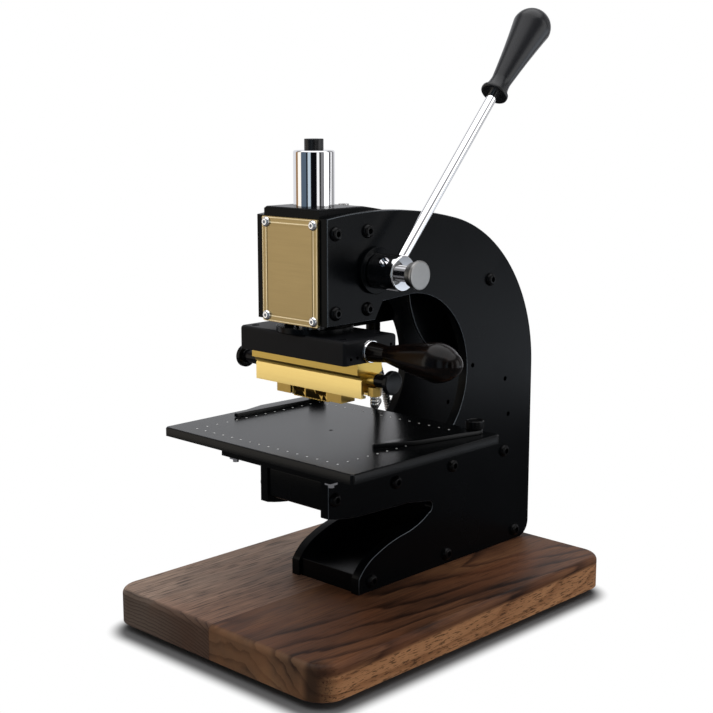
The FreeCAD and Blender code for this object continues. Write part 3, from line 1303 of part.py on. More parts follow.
def thermostat_dial():
    edge = dial.edge
    reach = control.cover + apart + dial.stud_long - dial.end_gap
    body = turned("thermostat_dial", [(0, -reach), (dial.stud, -reach), (dial.stud, 0), (dial.radius, 0),
                                      (dial.radius - edge, dial.long - edge), (dial.radius - edge * 2,
                                                                              dial.long), (0, dial.long)])
    half = dial.mark_wide / 2
    mark_end = dial.radius - edge * 3
    pocket(body, "XY_Plane", rectangle(-half, mark_end - dial.mark_long, half, mark_end), dial.mark_deep,
           offset=dial.long)
    return keep(put(body, -control_face - control.cover - apart, dial.y, knob_rise, "left"))


def rocker_switch():
    """A rocker whose two halves slope away from the middle, with a hinge pin at each side of its hole."""
    body = new_body("rocker_switch")
    half_tall = rocker.tall / 2
    slope = rocker.proud
    face = -control_face - control.cover
    inside = face + rocker.body_deep
    pad(body, "XZ_Plane", [(inside, knob_rise - half_tall + rocker.taper), (face, knob_rise - half_tall),
                           (face - slope, knob_rise - half_tall + rocker.lip), (face - rocker.waist, knob_rise),
                           (face - slope, knob_rise + half_tall - rocker.lip), (face, knob_rise + half_tall),
                           (inside, knob_rise + half_tall - rocker.taper)],
        rocker.wide, offset=-rocker.y - rocker.wide / 2)
    reach = rocker.wide / 2 + rocker.gap - rocker.pin_gap
    stud(body, "XZ_Plane", [(face, knob_rise)], rocker.pin, reach * 2, offset=-rocker.y - reach)
    return keep(body)


def inlet_socket():
    """The mains inlet in the rear of the controller, open to the back, with its three pins."""
    body = new_body("inlet")
    z = at_rise(inlet.rise)
    half_wide = inlet.body_wide / 2
    half_tall = inlet.body_tall / 2
    back = control.back_y
    pad(body, "XZ_Plane", rectangle(inlet.x - half_wide, z - half_tall, inlet.x + half_wide, z + half_tall),
        inlet.body_deep, offset=-back)
    pad(body, "XZ_Plane", rectangle(inlet.x - inlet.wide / 2, z - inlet.tall / 2, inlet.x + inlet.wide / 2,
                                    z + inlet.tall / 2, inlet.corner), inlet.lip, offset=-back,
        reverse=True)
    pocket(body, "XZ_Plane", rectangle(inlet.x - inlet.hole_wide / 2, z - inlet.hole_tall / 2,
                                       inlet.x + inlet.hole_wide / 2, z + inlet.hole_tall / 2),
           inlet.hole_deep + inlet.lip, offset=-back - inlet.lip, reverse=True)
    floor_y = back - inlet.hole_deep
    half_wide = inlet.pin_wide / 2
    half_tall = inlet.pin_tall / 2
    for across, up in ((-inlet.pin_apart, -inlet.pin_low), (0, inlet.pin_high),
                       (inlet.pin_apart, -inlet.pin_low)):
        pad(body, "XZ_Plane", rectangle(inlet.x + across - half_wide, z + up - half_tall,
                                        inlet.x + across + half_wide, z + up + half_tall),
            inlet.hole_deep - inlet.pin_short, offset=-floor_y, reverse=True)
    return keep(body)


gland_x = -(outer_x + control.deep / 2)
controller_box()
controller_cover()
thermostat_dial()
rocker_switch()
inlet_socket()


# The heater's armoured lead, held by one clip on the left plate

def rounded_path(points):
    """Straight runs joined by tangent arcs as large as the runs allow, and the arcs' radii."""
    edges = []
    radii = []
    start = points[0]
    for before, corner, after in zip(points, points[1:], points[2:]):
        into = (corner - before).normalize()
        out = (after - corner).normalize()
        half_turn = into.getAngle(out) / 2
        shorter = min((corner - before).Length, (after - corner).Length)
        reach = 0.45 * shorter
        radii.append(reach / math.tan(half_turn))
        first = corner - into * reach
        last = corner + out * reach
        bulge = (out - into).normalize() * (radii[-1] * (1 / math.cos(half_turn) - 1))
        edges.append(Part.LineSegment(start, first).toShape())
        edges.append(Part.Arc(first, corner + bulge, last).toShape())
        start = last
    edges.append(Part.LineSegment(start, points[-1]).toShape())
    return Part.Wire(edges), radii


def lead(name, points):
    """A plain tube along a rounded path."""
    path, radii = rounded_path(points)
    radius = cord.radius.value
    first = path.Edges[0]
    along = first.tangentAt(first.FirstParameter)
    section = Part.Wire(Part.Circle(points[0], along, radius).toShape())
    tube = path.makePipeShell([section], True, False)
    expected = math.pi * radius ** 2 * path.Length
    print("%s: length %.1f mm, volume %.4f of section times length, radii %s"
          % (name, path.Length, tube.Volume / expected, " ".join("%.0f" % item for item in radii)))
    item = doc.addObject("Part::Feature", name)
    item.Label = name
    item.Shape = tube
    return keep(item)


def place(across, back, rise):
    return Vector(number(across), number(back), number(at_rise(rise)))


clip_x = -(outer_x + cord.radius + cord.clip_wall)
heater_points = [place(plug.x, ram.axis_y, plug.under_rise), place(plug.x, ram.axis_y, plug.under_rise - 4.7),
                 place(57.5, -54.2, 151), place(47, -43, 149), place(18, -10, 140), place(-3, 13, 133.5),
                 place(-18, 30, 129), place(-29, 41.5, 125), place(-38, 46, 116),
                 place(clip_x, cord.clip_y, 105), place(clip_x, cord.clip_y, cord.clip_rise + cord.clip_high)]
controller_points = [place(clip_x, cord.clip_y, cord.clip_rise), place(clip_x, cord.clip_y, 74),
                     place(-43.5, 50, 60), place(-47, 64, 50), place(-50.5, 79, 54), place(-53.5, 87, 72),
                     place(-55.5, 87, 98), place(-57, 80, 127), place(gland_x, 71, 150),
                     place(gland_x, cord.gland_y, 166), place(gland_x, cord.gland_y, control.under_rise
                                                              - cord.gland_long)]


def lead_clip():
    """A block clip round the lead, screwed to the left plate."""
    body = new_body("lead_clip")
    low = at_rise(cord.clip_rise)
    reach = cord.radius + cord.clip_wall
    pad(body, "XY_Plane", [(-outer_x, cord.clip_y - reach), (-outer_x, cord.clip_y + reach),
                           (clip_x, cord.clip_y + reach), Via(clip_x - reach, cord.clip_y),
                           (clip_x, cord.clip_y - reach)], cord.clip_high, offset=low)
    sketch = new_sketch(body, "XY_Plane", low + cord.clip_high)
    ring(sketch, clip_x, cord.clip_y, cord.radius)
    feature(body, "Pocket", sketch, cord.clip_high)
    return keep(body)


lead_clip()
lead("heater_lead", heater_points)
lead("controller_lead", controller_points)

# Check every object, then write one file for each node

doc.recompute()
faults = [item.Name for item in doc.Objects if "Invalid" in item.State or "Error" in item.State]
for item in nodes:
    if item.Shape.isNull() or not item.Shape.isValid() or not item.Shape.Solids:
        faults.append(item.Label)
if faults:
    raise SystemExit("failed: " + ", ".join(sorted(set(faults))))
os.makedirs("parts", exist_ok=True)
for item in nodes:
    item.Shape.exportStep("parts/%s.step" % item.Label)
print("%d nodes, %d solids" % (len(nodes), sum(len(item.Shape.Solids) for item in nodes)))
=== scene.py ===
import json
import math

import bmesh
import bpy
from mathutils import Matrix, Vector


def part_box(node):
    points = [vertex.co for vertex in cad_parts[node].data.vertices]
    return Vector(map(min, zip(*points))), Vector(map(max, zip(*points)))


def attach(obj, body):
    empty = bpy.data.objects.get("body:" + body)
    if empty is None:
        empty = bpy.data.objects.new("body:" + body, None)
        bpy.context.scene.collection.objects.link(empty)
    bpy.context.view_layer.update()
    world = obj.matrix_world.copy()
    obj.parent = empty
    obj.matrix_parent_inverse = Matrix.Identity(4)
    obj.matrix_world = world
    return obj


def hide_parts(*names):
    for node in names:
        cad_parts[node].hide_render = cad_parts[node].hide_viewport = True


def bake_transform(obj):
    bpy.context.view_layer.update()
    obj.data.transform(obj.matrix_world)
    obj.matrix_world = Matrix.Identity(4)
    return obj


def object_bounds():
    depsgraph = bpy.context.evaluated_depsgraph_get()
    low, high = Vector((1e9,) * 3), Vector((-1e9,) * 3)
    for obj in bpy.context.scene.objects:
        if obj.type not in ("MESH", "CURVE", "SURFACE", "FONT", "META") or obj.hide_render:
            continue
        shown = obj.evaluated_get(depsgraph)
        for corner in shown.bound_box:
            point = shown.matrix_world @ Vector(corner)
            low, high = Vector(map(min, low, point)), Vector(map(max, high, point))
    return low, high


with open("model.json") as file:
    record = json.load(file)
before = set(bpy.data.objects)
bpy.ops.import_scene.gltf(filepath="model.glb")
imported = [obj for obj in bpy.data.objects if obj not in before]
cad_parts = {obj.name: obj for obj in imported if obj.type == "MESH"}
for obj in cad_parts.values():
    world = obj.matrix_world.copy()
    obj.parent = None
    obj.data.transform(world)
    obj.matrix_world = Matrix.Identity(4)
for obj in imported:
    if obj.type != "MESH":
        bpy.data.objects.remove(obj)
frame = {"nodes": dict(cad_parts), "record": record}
cad_low, cad_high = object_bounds()

# The looks of the hot stamping machine, in metres. A "rise" is a height above the top of the base.

MM = 0.001
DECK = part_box("base_plank_right")[1].z
TABLE_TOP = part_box("table_plate")[1].z
RAM_LOW, RAM_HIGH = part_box("ram")
RAM_Y = (RAM_LOW.y + RAM_HIGH.y) / 2
FLANGE_LOW, FLANGE_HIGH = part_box("bearing_flange_right")
HUB_Y = (FLANGE_LOW.y + FLANGE_HIGH.y) / 2
HUB_Z = (FLANGE_LOW.z + FLANGE_HIGH.z) / 2
LEVER_X = 0.055
LEVER_LEAN = math.radians(41.7)
HANDLE_Z = DECK + 0.190
CLAMP_Z = DECK + 0.170
INSULATOR_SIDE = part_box("insulator_block")[1].x
BASE_CORNER = 0.020


# Camera: the photograph's own viewpoint, to the right of the front and a little above

camera_data = bpy.data.cameras.new("camera")
camera_data.lens = 68.39
camera_data.sensor_width = 36
camera = bpy.data.objects.new("camera", camera_data)
camera.location = (0.70475, -0.74581, 0.39412)
camera.rotation_euler = (math.radians(79.47), 0, math.radians(43.889))
bpy.context.scene.collection.objects.link(camera)
bpy.context.scene.camera = camera
bpy.context.scene.view_settings.view_transform = "Standard"


# Shader maths as expressions

class Link:
    """The output of a shader node, for sums and products."""

    def __init__(self, tree, socket):
        self.tree = tree
        self.socket = socket

    def maths(self, operation, first, second=0.0):
        return self.tree.node("ShaderNodeMath", {"operation": operation}, {0: first, 1: second})

    def __add__(self, other):
        return self.maths("ADD", self, other)

    __radd__ = __add__

    def __sub__(self, other):
        return self.maths("SUBTRACT", self, other)

    def __rsub__(self, other):
        return self.maths("SUBTRACT", other, self)

    def __mul__(self, other):
        return self.maths("MULTIPLY", self, other)

    def __pow__(self, other):
        return self.maths("POWER", self, other)


class Tree:
    """A node tree, with one way of adding nodes."""

    def __init__(self, tree):
        self.tree = tree

    def node(self, kind, settings, sockets, output=0):
        made = self.tree.nodes.new(kind)
        for name, value in settings.items():
            if name == "stops":
                for index, (position, colour) in enumerate(value):
                    stop = (made.color_ramp.elements[index] if index < 2
                            else made.color_ramp.elements.new(position))
                    stop.position = position
                    stop.color = (*colour, 1)
            else:
                setattr(made, name, value)
        for name, value in sockets.items():
            if isinstance(value, Link):
                self.tree.links.new(value.socket, made.inputs[name])
            else:
                made.inputs[name].default_value = value
        return Link(self, made.outputs[output])

    def parts(self, vector):
        split = self.node("ShaderNodeSeparateXYZ", {}, {0: vector})
        return [Link(self, output) for output in split.socket.node.outputs]

    def ramp(self, factor, stops):
        return self.node("ShaderNodeValToRGB", {"stops": stops}, {"Fac": factor}, "Color")

    def between(self, factor, low, high, start=0.0, end=1.0, smooth=False):
        kind = "SMOOTHSTEP" if smooth else "LINEAR"
        return self.node("ShaderNodeMapRange", {"interpolation_type": kind},
                         {"Value": factor, "From Min": start, "From Max": end, "To Min": low, "To Max": high})

    def mix(self, factor, first, second, blend="MIX"):
        first, second = [value if isinstance(value, Link) else (*value, 1) for value in (first, second)]
        return self.node("ShaderNodeMix", {"data_type": "RGBA", "blend_type": blend},
                         {"Factor": factor, 6: first, 7: second}, 2)


class Finish(Tree):
    """One material round a Principled shader."""

    def __init__(self, name):
        self.material = bpy.data.materials.new(name)
        self.material.use_nodes = True
        super().__init__(self.material.node_tree)
        self.shader = self.tree.nodes["Principled BSDF"]
        self.place = self.node("ShaderNodeTexCoord", {}, {}, "Object")

    def stretched(self, scale):
        return self.node("ShaderNodeMapping", {}, {"Vector": self.place, "Scale": scale})

    def noise(self, scale, detail=3.0, rough=0.5, vector=None, distortion=0.0, output=0):
        return self.node("ShaderNodeTexNoise", {}, {"Vector": vector or self.place, "Scale": scale,
                                                   "Detail": detail, "Roughness": rough,
                                                   "Distortion": distortion}, output)

    def set(self, **sockets):
        for name, value in sockets.items():
            socket = self.shader.inputs[name.replace("_", " ")]
            if isinstance(value, Link):
                self.tree.links.new(value.socket, socket)
            else:
                socket.default_value = (*value, 1) if isinstance(value, tuple) else value

    def bump(self, height, strength, distance=0.0002):
        self.set(Normal=self.node("ShaderNodeBump", {}, {"Height": height, "Strength": strength,
                                                        "Distance": distance}))


# Finishes

def black_paint(name, dark, light, roughness, shine, grain=900.0, rough_by=0.14, strength=0.08):
    """Black paint or oxide, with a cloudy sheen and a fine grain."""
    finish = Finish(name)
    cloud = finish.noise(18.0, 4.0)
    fine = finish.noise(grain, 2.0)
    finish.set(Base_Color=finish.mix(cloud, dark, light), Specular_IOR_Level=shine,
               Roughness=finish.between(cloud, roughness - rough_by / 2, roughness + rough_by / 2))
    finish.bump(fine, strength)
    return finish.material


def polished_metal(name, colour, roughness, smear=0.03):
    """Polished metal with the faint smears of handling."""
    finish = Finish(name)
    cloud = finish.noise(30.0, 4.0)
    finish.set(Base_Color=finish.mix(cloud, colour, tuple(part * 0.94 for part in colour)), Metallic=1.0,
               Roughness=finish.between(cloud, roughness, roughness + smear, 0.35, 0.75))
    return finish.material


def brushed_metal(name, colour, dull, roughness, stretch, strength=0.15):
    """Metal with brush lines along the axis that has the smallest stretch."""
    finish = Finish(name)
    lines = finish.noise(1.0, 4.0, 0.65, finish.stretched(stretch))
    broad = finish.noise(14.0, 3.0)
    tone = finish.mix(lines, dull, colour)
    finish.set(Base_Color=finish.mix(broad, tone, colour), Metallic=1.0,
               Roughness=finish.between(lines, roughness + 0.08, roughness - 0.06))
    finish.bump(lines, strength, 0.0001)
    return finish.material


def turned_metal(name, colour, roughness):
    """Turned steel, with marks too fine to see one by one."""
    finish = Finish(name)
    marks = finish.noise(6000.0, 2.0)
    finish.set(Base_Color=finish.mix(marks, colour, tuple(part * 0.85 for part in colour)), Metallic=1.0,
               Roughness=finish.between(marks, roughness, roughness + 0.1))
    finish.bump(marks, 0.04, 0.0001)
    return finish.material


TOOL_RINGS = 7000.0


def knob_steel(name):
    """The clamping knob's steel, with the rings of the tool on its face."""
    finish = Finish(name)
    _, y, z = finish.parts(finish.place)
    beside = y - HUB_Y
    above = z - HUB_Z
    reach = (beside * beside + above * above) ** 0.5
    lines = reach.maths("SINE", reach * TOOL_RINGS) * 0.5 + 0.5
    cloud = finish.noise(160.0, 3.0)
    finish.set(Base_Color=finish.mix(lines * 0.6 + cloud * 0.4, (0.31, 0.305, 0.30), (0.20, 0.20, 0.195)),
               Metallic=1.0, Roughness=finish.between(lines, 0.30, 0.42))
    finish.bump(lines, 0.10, 0.00005)
    return finish.material


def moulding(name, dark, light, roughness, grain=700.0, strength=0.1, coat=0.0, shine=0.5):
    """Moulded plastic, rubber or board with a fine grain."""
    finish = Finish(name)
    cloud = finish.noise(40.0, 3.0)
    fine = finish.noise(grain, 2.0)
    finish.set(Base_Color=finish.mix(cloud, dark, light), Coat_Weight=coat, Specular_IOR_Level=shine,
               Roughness=finish.between(fine, roughness, roughness + 0.1))
    finish.bump(fine, strength)
    return finish.material


END_GRAIN_FROM = cad_high.y - 0.0055
END_GRAIN_FADE = 0.004
SEAM_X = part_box("base_plank_left")[1].x
SEAM_DARKENING = (SEAM_X - 0.085, SEAM_X - 0.010)
SEAM_WIDTH = 0.001
SHOULDER_DROPS = (0.0125, 0.0155)
SHOULDER_WAVES = 0.014
FLANK_X = (0.102, 0.110)
CORNER_X = (0.093, 0.101)
CORNER_Y = (-0.160, -0.146)
CORNER_STAIN = (0.012, 0.006, 0.004)
RING_WOBBLE = 1.3
LATE_WOOD = ((0.0, 0.32), (0.55, 0.42), (0.88, 1.0), (0.97, 0.4), (1.0, 0.32))


def walnut(name, pith, lean, ring, wander, tones, shares, end_light_and_shade, side_tones, worn):
    """Wood from a log with its rings round a slanting pith, so one pattern gives grain, arches and ends.

    The pith is given as x and z where y is 0, with its lean for each metre of y. Besides the plain grain
    there are the ends, with painted shade on top of the darker end grain on the grey plank and painted light
    on the red one, a warmer, darker band that deepens towards the seam, a side of its own tones below the
    rounded shoulder and a stained near corner.
    """
    finish = Finish(name)
    dark, middle, light = tones
    ring_share, end_ring_share, fibre_share, patch_share, pore_share = shares
    x, y, z = finish.parts(finish.place)
    slow = finish.noise(1.0, 2.0, 0.5, finish.stretched((14.0, 4.0, 14.0)), output=1)
    slow_x, _, slow_z = finish.parts(slow)
    tremble = finish.noise(1.0, 3.0, 0.55, finish.stretched((55.0, 9.0, 55.0)))
    across = x - pith[0] - y * lean[0] + (slow_x - 0.5) * wander
    up = z - pith[1] - y * lean[1] + (slow_z - 0.5) * wander
    phase = (across * across + up * up) ** 0.5 * (1 / ring) + (tremble - 0.5) * RING_WOBBLE
    growth = phase.maths("FRACT", phase)
    late = finish.ramp(growth, [(place, (tone, tone, tone)) for place, tone in LATE_WOOD])
    fibre = finish.noise(1.0, 4.0, 0.68, finish.stretched((700.0, 20.0, 700.0)), 0.25)
    patch = finish.noise(1.0, 3.0, 0.5, finish.stretched((18.0, 6.0, 18.0)), 0.7)
    ends = finish.between(y.maths("ABSOLUTE", y), 0.0, 1.0, END_GRAIN_FROM, END_GRAIN_FROM + END_GRAIN_FADE,
                          True)
    depth = ((late - 0.5) * (ring_share + ends * (end_ring_share - ring_share))
             + (fibre - 0.5) * (fibre_share - ends * fibre_share * 0.75)
             + (patch - 0.5) * patch_share + 0.5)
    tone = finish.ramp(depth, [(0.34, light), (0.50, middle), (0.72, dark)])
    hue = finish.noise(1.0, 2.0, 0.5, finish.stretched((26.0, 6.0, 26.0)), 0.4)
    tone = finish.mix(finish.between(hue, 0.0, 0.6, 0.50, 0.70), tone, worn)
    # A warmer, darker band on the grey plank that deepens towards the seam.
    near_seam = (finish.between(x, 0.0, 1.0, *SEAM_DARKENING, True)
                 * finish.between(x, 1.0, 0.0, SEAM_X, SEAM_X + SEAM_WIDTH))
    tone = finish.mix(near_seam, tone, finish.mix(1.0, tone, (0.78, 0.62, 0.54), "MULTIPLY"))
    # The ends' tone: painted shade on top of darker end grain on the grey plank, painted light on the red
    # plank.
    tone = finish.mix(ends, tone, finish.mix(1.0, tone, end_light_and_shade, "MULTIPLY"))
    below = [drop - DECK for drop in SHOULDER_DROPS]
    shoulder = finish.between(slow_z * SHOULDER_WAVES - z, 0.0, 1.0, *below, True)
    flank = finish.between(x, 0.0, 1.0, *FLANK_X, True) * shoulder * (1 - ends)
    tone = finish.mix(flank, tone, finish.ramp(depth, [(0.36, side_tones[0]), (0.68, side_tones[1])]))
    long_pores = finish.noise(1.0, 1.0, 0.5, finish.stretched((760.0, 46.0, 760.0)), 0.2)
    short_pores = finish.noise(1.0, 2.0, 0.6, finish.stretched((1000.0, 130.0, 1000.0)), 0.2)
    porous = (finish.between(long_pores, 0.0, pore_share, 0.57, 0.65) * (1 - flank) * (1 - ends)
              + finish.between(short_pores, 0.0, 0.72, 0.53, 0.64) * flank)
    tone = finish.mix(porous, tone, tuple(part * 0.4 for part in dark))
    corner = finish.between(x, 0.0, 0.75, *CORNER_X, True) * finish.between(y, 1.0, 0.0, *CORNER_Y, True)
    tone = finish.mix(corner, tone, CORNER_STAIN)
    finish.set(Base_Color=tone, Roughness=finish.between(fibre, 0.60, 0.42), Specular_IOR_Level=0.14)
    finish.bump(fibre * 0.4 - porous, 0.3, 0.0003)
    return finish.material


def handle_wood(name):
    """Dark polished hardwood with reddish streaks along the handle."""
    finish = Finish(name)
    streak = finish.noise(1.0, 5.0, 0.6, finish.stretched((20.0, 320.0, 320.0)), 0.5)
    tones = [(0.38, (0.0015, 0.001, 0.0008)), (0.58, (0.004, 0.002, 0.0014)), (0.74, (0.014, 0.006, 0.003))]
    finish.set(Base_Color=finish.ramp(streak, tones),
               Roughness=0.22, Specular_IOR_Level=0.08, Coat_Weight=0.2, Coat_Roughness=0.15)
    finish.bump(streak, 0.05, 0.0001)
    return finish.material


def white_paint():
    """Matt white paint, a little worn."""
    finish = Finish("white_paint")
    worn = finish.noise(2500.0, 2.0)
    finish.set(Base_Color=finish.mix(worn, (0.80, 0.80, 0.78), (0.55, 0.55, 0.53)), Roughness=0.5)
    return finish.material


LEFT_TONES = ((0.085, 0.052, 0.037), (0.235, 0.158, 0.113), (0.360, 0.250, 0.182))
RIGHT_TONES = ((0.016, 0.006, 0.003), (0.092, 0.038, 0.018), (0.175, 0.078, 0.034))
SIDE_TONES = ((0.44, 0.215, 0.095), (0.245, 0.108, 0.045))
finishes = {
    # Each plank's end tone: painted shade with darker end grain on the grey plank, painted light on the red
    # one.
    "walnut_grey": walnut("straight_walnut", (-0.075, -0.24), (0.0, 0.006), 0.0027, 0.010, LEFT_TONES,
                          (0.12, 0.32, 0.75, 0.22, 0.72), (0.40, 0.42, 0.44), LEFT_TONES[:2],
                          (0.250, 0.140, 0.088)),
    "walnut_red": walnut("arched_walnut", (0.036, -0.035), (0.06, 0.085), 0.0105, 0.046, RIGHT_TONES,
                         (0.36, 0.20, 0.40, 0.52, 0.30), (1.5, 1.9, 2.05), SIDE_TONES, (0.130, 0.046, 0.018)),
    "black_rubber": moulding("foot_rubber", (0.004, 0.004, 0.004), (0.008, 0.008, 0.008), 0.7),
    "frame_black": black_paint("frame_paint", (0.0008, 0.0012, 0.0017), (0.0015, 0.0021, 0.0028), 0.26, 0.075,
                               900.0, 0.1),
    "frame_edge": polished_metal("rubbed_edge", (0.09, 0.10, 0.11), 0.3, 0.1),
    "table_black": black_paint("table_paint", (0.0008, 0.0010, 0.0012), (0.0016, 0.0019, 0.0022), 0.23, 0.18,
                               1200.0, 0.05, 0.03),
    "screw_black": black_paint("screw_oxide", (0.0015, 0.0015, 0.0017), (0.004, 0.004, 0.0044), 0.16, 0.12,
                               2000.0),
    "polished_chrome": polished_metal("chrome", (0.88, 0.88, 0.89), 0.04),
    "satin_steel": turned_metal("turned_steel", (0.62, 0.61, 0.60), 0.22),
    "knob_steel": knob_steel("knob_steel"),
    "spring_steel": polished_metal("blued_spring", (0.20, 0.22, 0.27), 0.25),
    "plate_bronze": brushed_metal("brushed_bronze", (0.46, 0.35, 0.17), (0.38, 0.285, 0.135), 0.36,
                                  (30.0, 30.0, 1400.0), 0.05),
    "plate_line": polished_metal("engraved_line", (1.0, 0.88, 0.60), 0.36, 0.1),
    # A darker copy of the gold brass for the heating plate: painted shade under the insulator.
    "gold_shaded": brushed_metal("shaded_gold_brass", (0.60, 0.42, 0.11), (0.52, 0.36, 0.09), 0.30,
                               (12.0, 2200.0, 2200.0), 0.04),
    "gold_plate": brushed_metal("gold_brass", (1.0, 0.78, 0.30), (0.94, 0.70, 0.25), 0.30,
                                (12.0, 2200.0, 2200.0), 0.04),
    "insulator_black": moulding("insulator_board", (0.003, 0.0033, 0.0042), (0.006, 0.0064, 0.0078), 0.42,
                                1100.0, 0.12, 0.0, 0.14),
    "dark_wood": handle_wood("handle_hardwood"),
    "grip_grey": moulding("grip_plastic", (0.006, 0.0065, 0.0085), (0.009, 0.0095, 0.012), 0.24, 1600.0, 0.03,
                          0.0, 0.34),
    "black_plastic": moulding("black_moulding", (0.003, 0.0032, 0.004), (0.006, 0.0064, 0.0075), 0.3, 900.0,
                              0.05, 0.0, 0.4),
    "lead_armour": polished_metal("steel_armour", (0.66, 0.65, 0.62), 0.18, 0.1),
    "type_brass": polished_metal("type_metal", (0.56, 0.38, 0.11), 0.26, 0.12),
    "heater_steel": polished_metal("heater_sheath", (0.45, 0.43, 0.42), 0.35, 0.1),
    "white_paint": white_paint(),
}
slot_of = {part["node"]: part["material_slot"] for part in frame["record"]["subparts"]}
body_of = {node: body for body, members in frame["record"]["behaviour"]["bodies"].items() for node in members}
remade = set()


# Making pieces

WEB_CHAMFER = 0.0006


def put_piece(name, shape, slot, body, stands_for=(), crease=38.0, paint=None, rubbed=None):
    """Turn a bmesh into a piece: smooth where its faces meet gently, and sharp elsewhere.

    The paint is another finish than that of its slot, and rubbed is the finish of the faces with index 1.
    """
    for face in shape.faces:
        face.smooth = True
    for edge in shape.edges:
        if len(edge.link_faces) == 2:
            edge.smooth = edge.calc_face_angle(0.0) < math.radians(crease)
    mesh = bpy.data.meshes.new(name)
    shape.to_mesh(mesh)
    shape.free()
    mesh.materials.append(finishes[paint or slot])
    if rubbed:
        mesh.materials.append(finishes[rubbed])
    piece = bpy.data.objects.new(name, mesh)
    bpy.context.scene.collection.objects.link(piece)
    level = piece.modifiers.new("level_faces", "WEIGHTED_NORMAL")
    level.mode = "FACE_AREA"
    level.keep_sharp = True
    if body:
        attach(piece, body)
    if stands_for:
        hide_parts(*stands_for)
        remade.update(stands_for)
    return piece


def dressed(node):
    """A piece with a node's own shape, its flat faces made whole and its curves shaded smooth.

    The web's corners are broken by a small chamfer, and the chamfers of the frame's plates are rubbed bare.
    """
    shape = bmesh.new()
    shape.from_mesh(frame["nodes"][node].data)
    bmesh.ops.remove_doubles(shape, verts=shape.verts, dist=1e-6)
    bmesh.ops.dissolve_limit(shape, angle_limit=math.radians(0.4), verts=shape.verts, edges=shape.edges)
    if node == "inner_web":
        corners = [edge for edge in shape.edges if edge.calc_face_angle(0.0) > math.radians(60)]
        bmesh.ops.bevel(shape, geom=corners, offset=WEB_CHAMFER, affect="EDGES", segments=1, profile=0.5,
                        material=-1)
    rubbed = "frame_edge" if node.startswith("side_plate") or node == "inner_web" else None
    # The heating plate takes the darker copy of the gold brass, painted shade under the insulator.
    paint = "gold_shaded" if node == "heating_plate" else None
    if rubbed:
        for face in shape.faces:
            if 0.3 < abs(face.normal.x) < 0.95:
                face.material_index = 1
    put_piece(node + "_finish", shape, slot_of[node], body_of[node], [node], 50.0, paint, rubbed)


def spun(profile, matrix, segments=96):
    """Spin a half section, given as radius and height in millimetres, round Z, and set it in its place."""
    shape = bmesh.new()
    path = [shape.verts.new((radius * MM, 0, height * MM)) for radius, height in profile]
    for first, second in zip(path, path[1:]):
        shape.edges.new((first, second))
    bmesh.ops.spin(shape, geom=shape.verts[:] + shape.edges[:], cent=(0, 0, 0), axis=(0, 0, 1),
                   dvec=(0, 0, 0), angle=math.tau, steps=segments, use_merge=True, use_duplicate=False)
    bmesh.ops.remove_doubles(shape, verts=shape.verts, dist=1e-7)
    bmesh.ops.recalc_face_normals(shape, faces=shape.faces)
    bmesh.ops.transform(shape, matrix=matrix, verts=shape.verts)
    return shape


def knurl(shape, matrix, low, high, radius, ribs, depth):
    """Press ribs into a band of a spun shape: every other column of its vertices sinks."""
    back = matrix.inverted()
    near = 0.2 * MM
    for vertex in shape.verts:
        spot = back @ vertex.co
        reach = math.hypot(spot.x, spot.y)
        if low * MM < spot.z < high * MM and abs(reach - radius * MM) < near:
            turn = math.atan2(spot.y, spot.x) / math.tau * ribs * 2
            if round(turn) % 2:
                shrink = 1 - depth / radius
                vertex.co = matrix @ Vector((spot.x * shrink, spot.y * shrink, spot.z))


def bow(first, via, last, steps=14):
    """Points of the arc through three points, without the first of them."""
    (ax, ay), (bx, by), (cx, cy) = first, via, last
    twice = 2 * (ax * (by - cy) + bx * (cy - ay) + cx * (ay - by))
    squares = [ax * ax + ay * ay, bx * bx + by * by, cx * cx + cy * cy]
    ux = (squares[0] * (by - cy) + squares[1] * (cy - ay) + squares[2] * (ay - by)) / twice
    uy = (squares[0] * (cx - bx) + squares[1] * (ax - cx) + squares[2] * (bx - ax)) / twice
    radius = math.hypot(ax - ux, ay - uy)
    turns = [math.atan2(y - uy, x - ux) for x, y in (first, via, last)]
    sweep = sum(math.remainder(after - before, math.tau) for before, after in zip(turns, turns[1:]))
    return [(ux + radius * math.cos(turns[0] + sweep * step / steps),
             uy + radius * math.sin(turns[0] + sweep * step / steps)) for step in range(1, steps + 1)]


def eased(corner, before, after, ease):
    """A small round on a corner of a half section: its points from the side before to the side after."""
    corner, before, after = Vector(corner), Vector(before), Vector(after)
    into = (before - corner).normalized() * ease
    out = (after - corner).normalized() * ease
    points = []
    for step in range(4):
        share = step / 3
        points.append(tuple(corner + into * (1 - share) ** 2 + out * share ** 2))
    return points


def with_rounds(profile, ease):
    """A half section with every inner corner of its outline eased."""
    points = [profile[0]]
    for before, corner, after in zip(profile, profile[1:], profile[2:]):
        points += eased(corner, before, after, ease)
    return points + [profile[-1]]


def upright(x, y, z):
    """The place of a spun shape that stands up."""
    return Matrix.Translation((x, y, z))


def sideways(x, y, z, way=1):
    """The place of a spun shape that lies along X, to the right or the left."""
    return Matrix.Translation((x, y, z)) @ Matrix.Rotation(math.radians(90 * way), 4, "Y")


LEVER = Matrix.Translation((LEVER_X, HUB_Y, HUB_Z)) @ Matrix.Rotation(-LEVER_LEAN, 4, "X")


# The leads: two stretches of armoured cord, through the same points as the solids

def from_part(points):
    """Points given in millimetres, with their height as a rise."""
    return [Vector((across * MM, back * MM, rise * MM + DECK)) for across, back, rise in points]


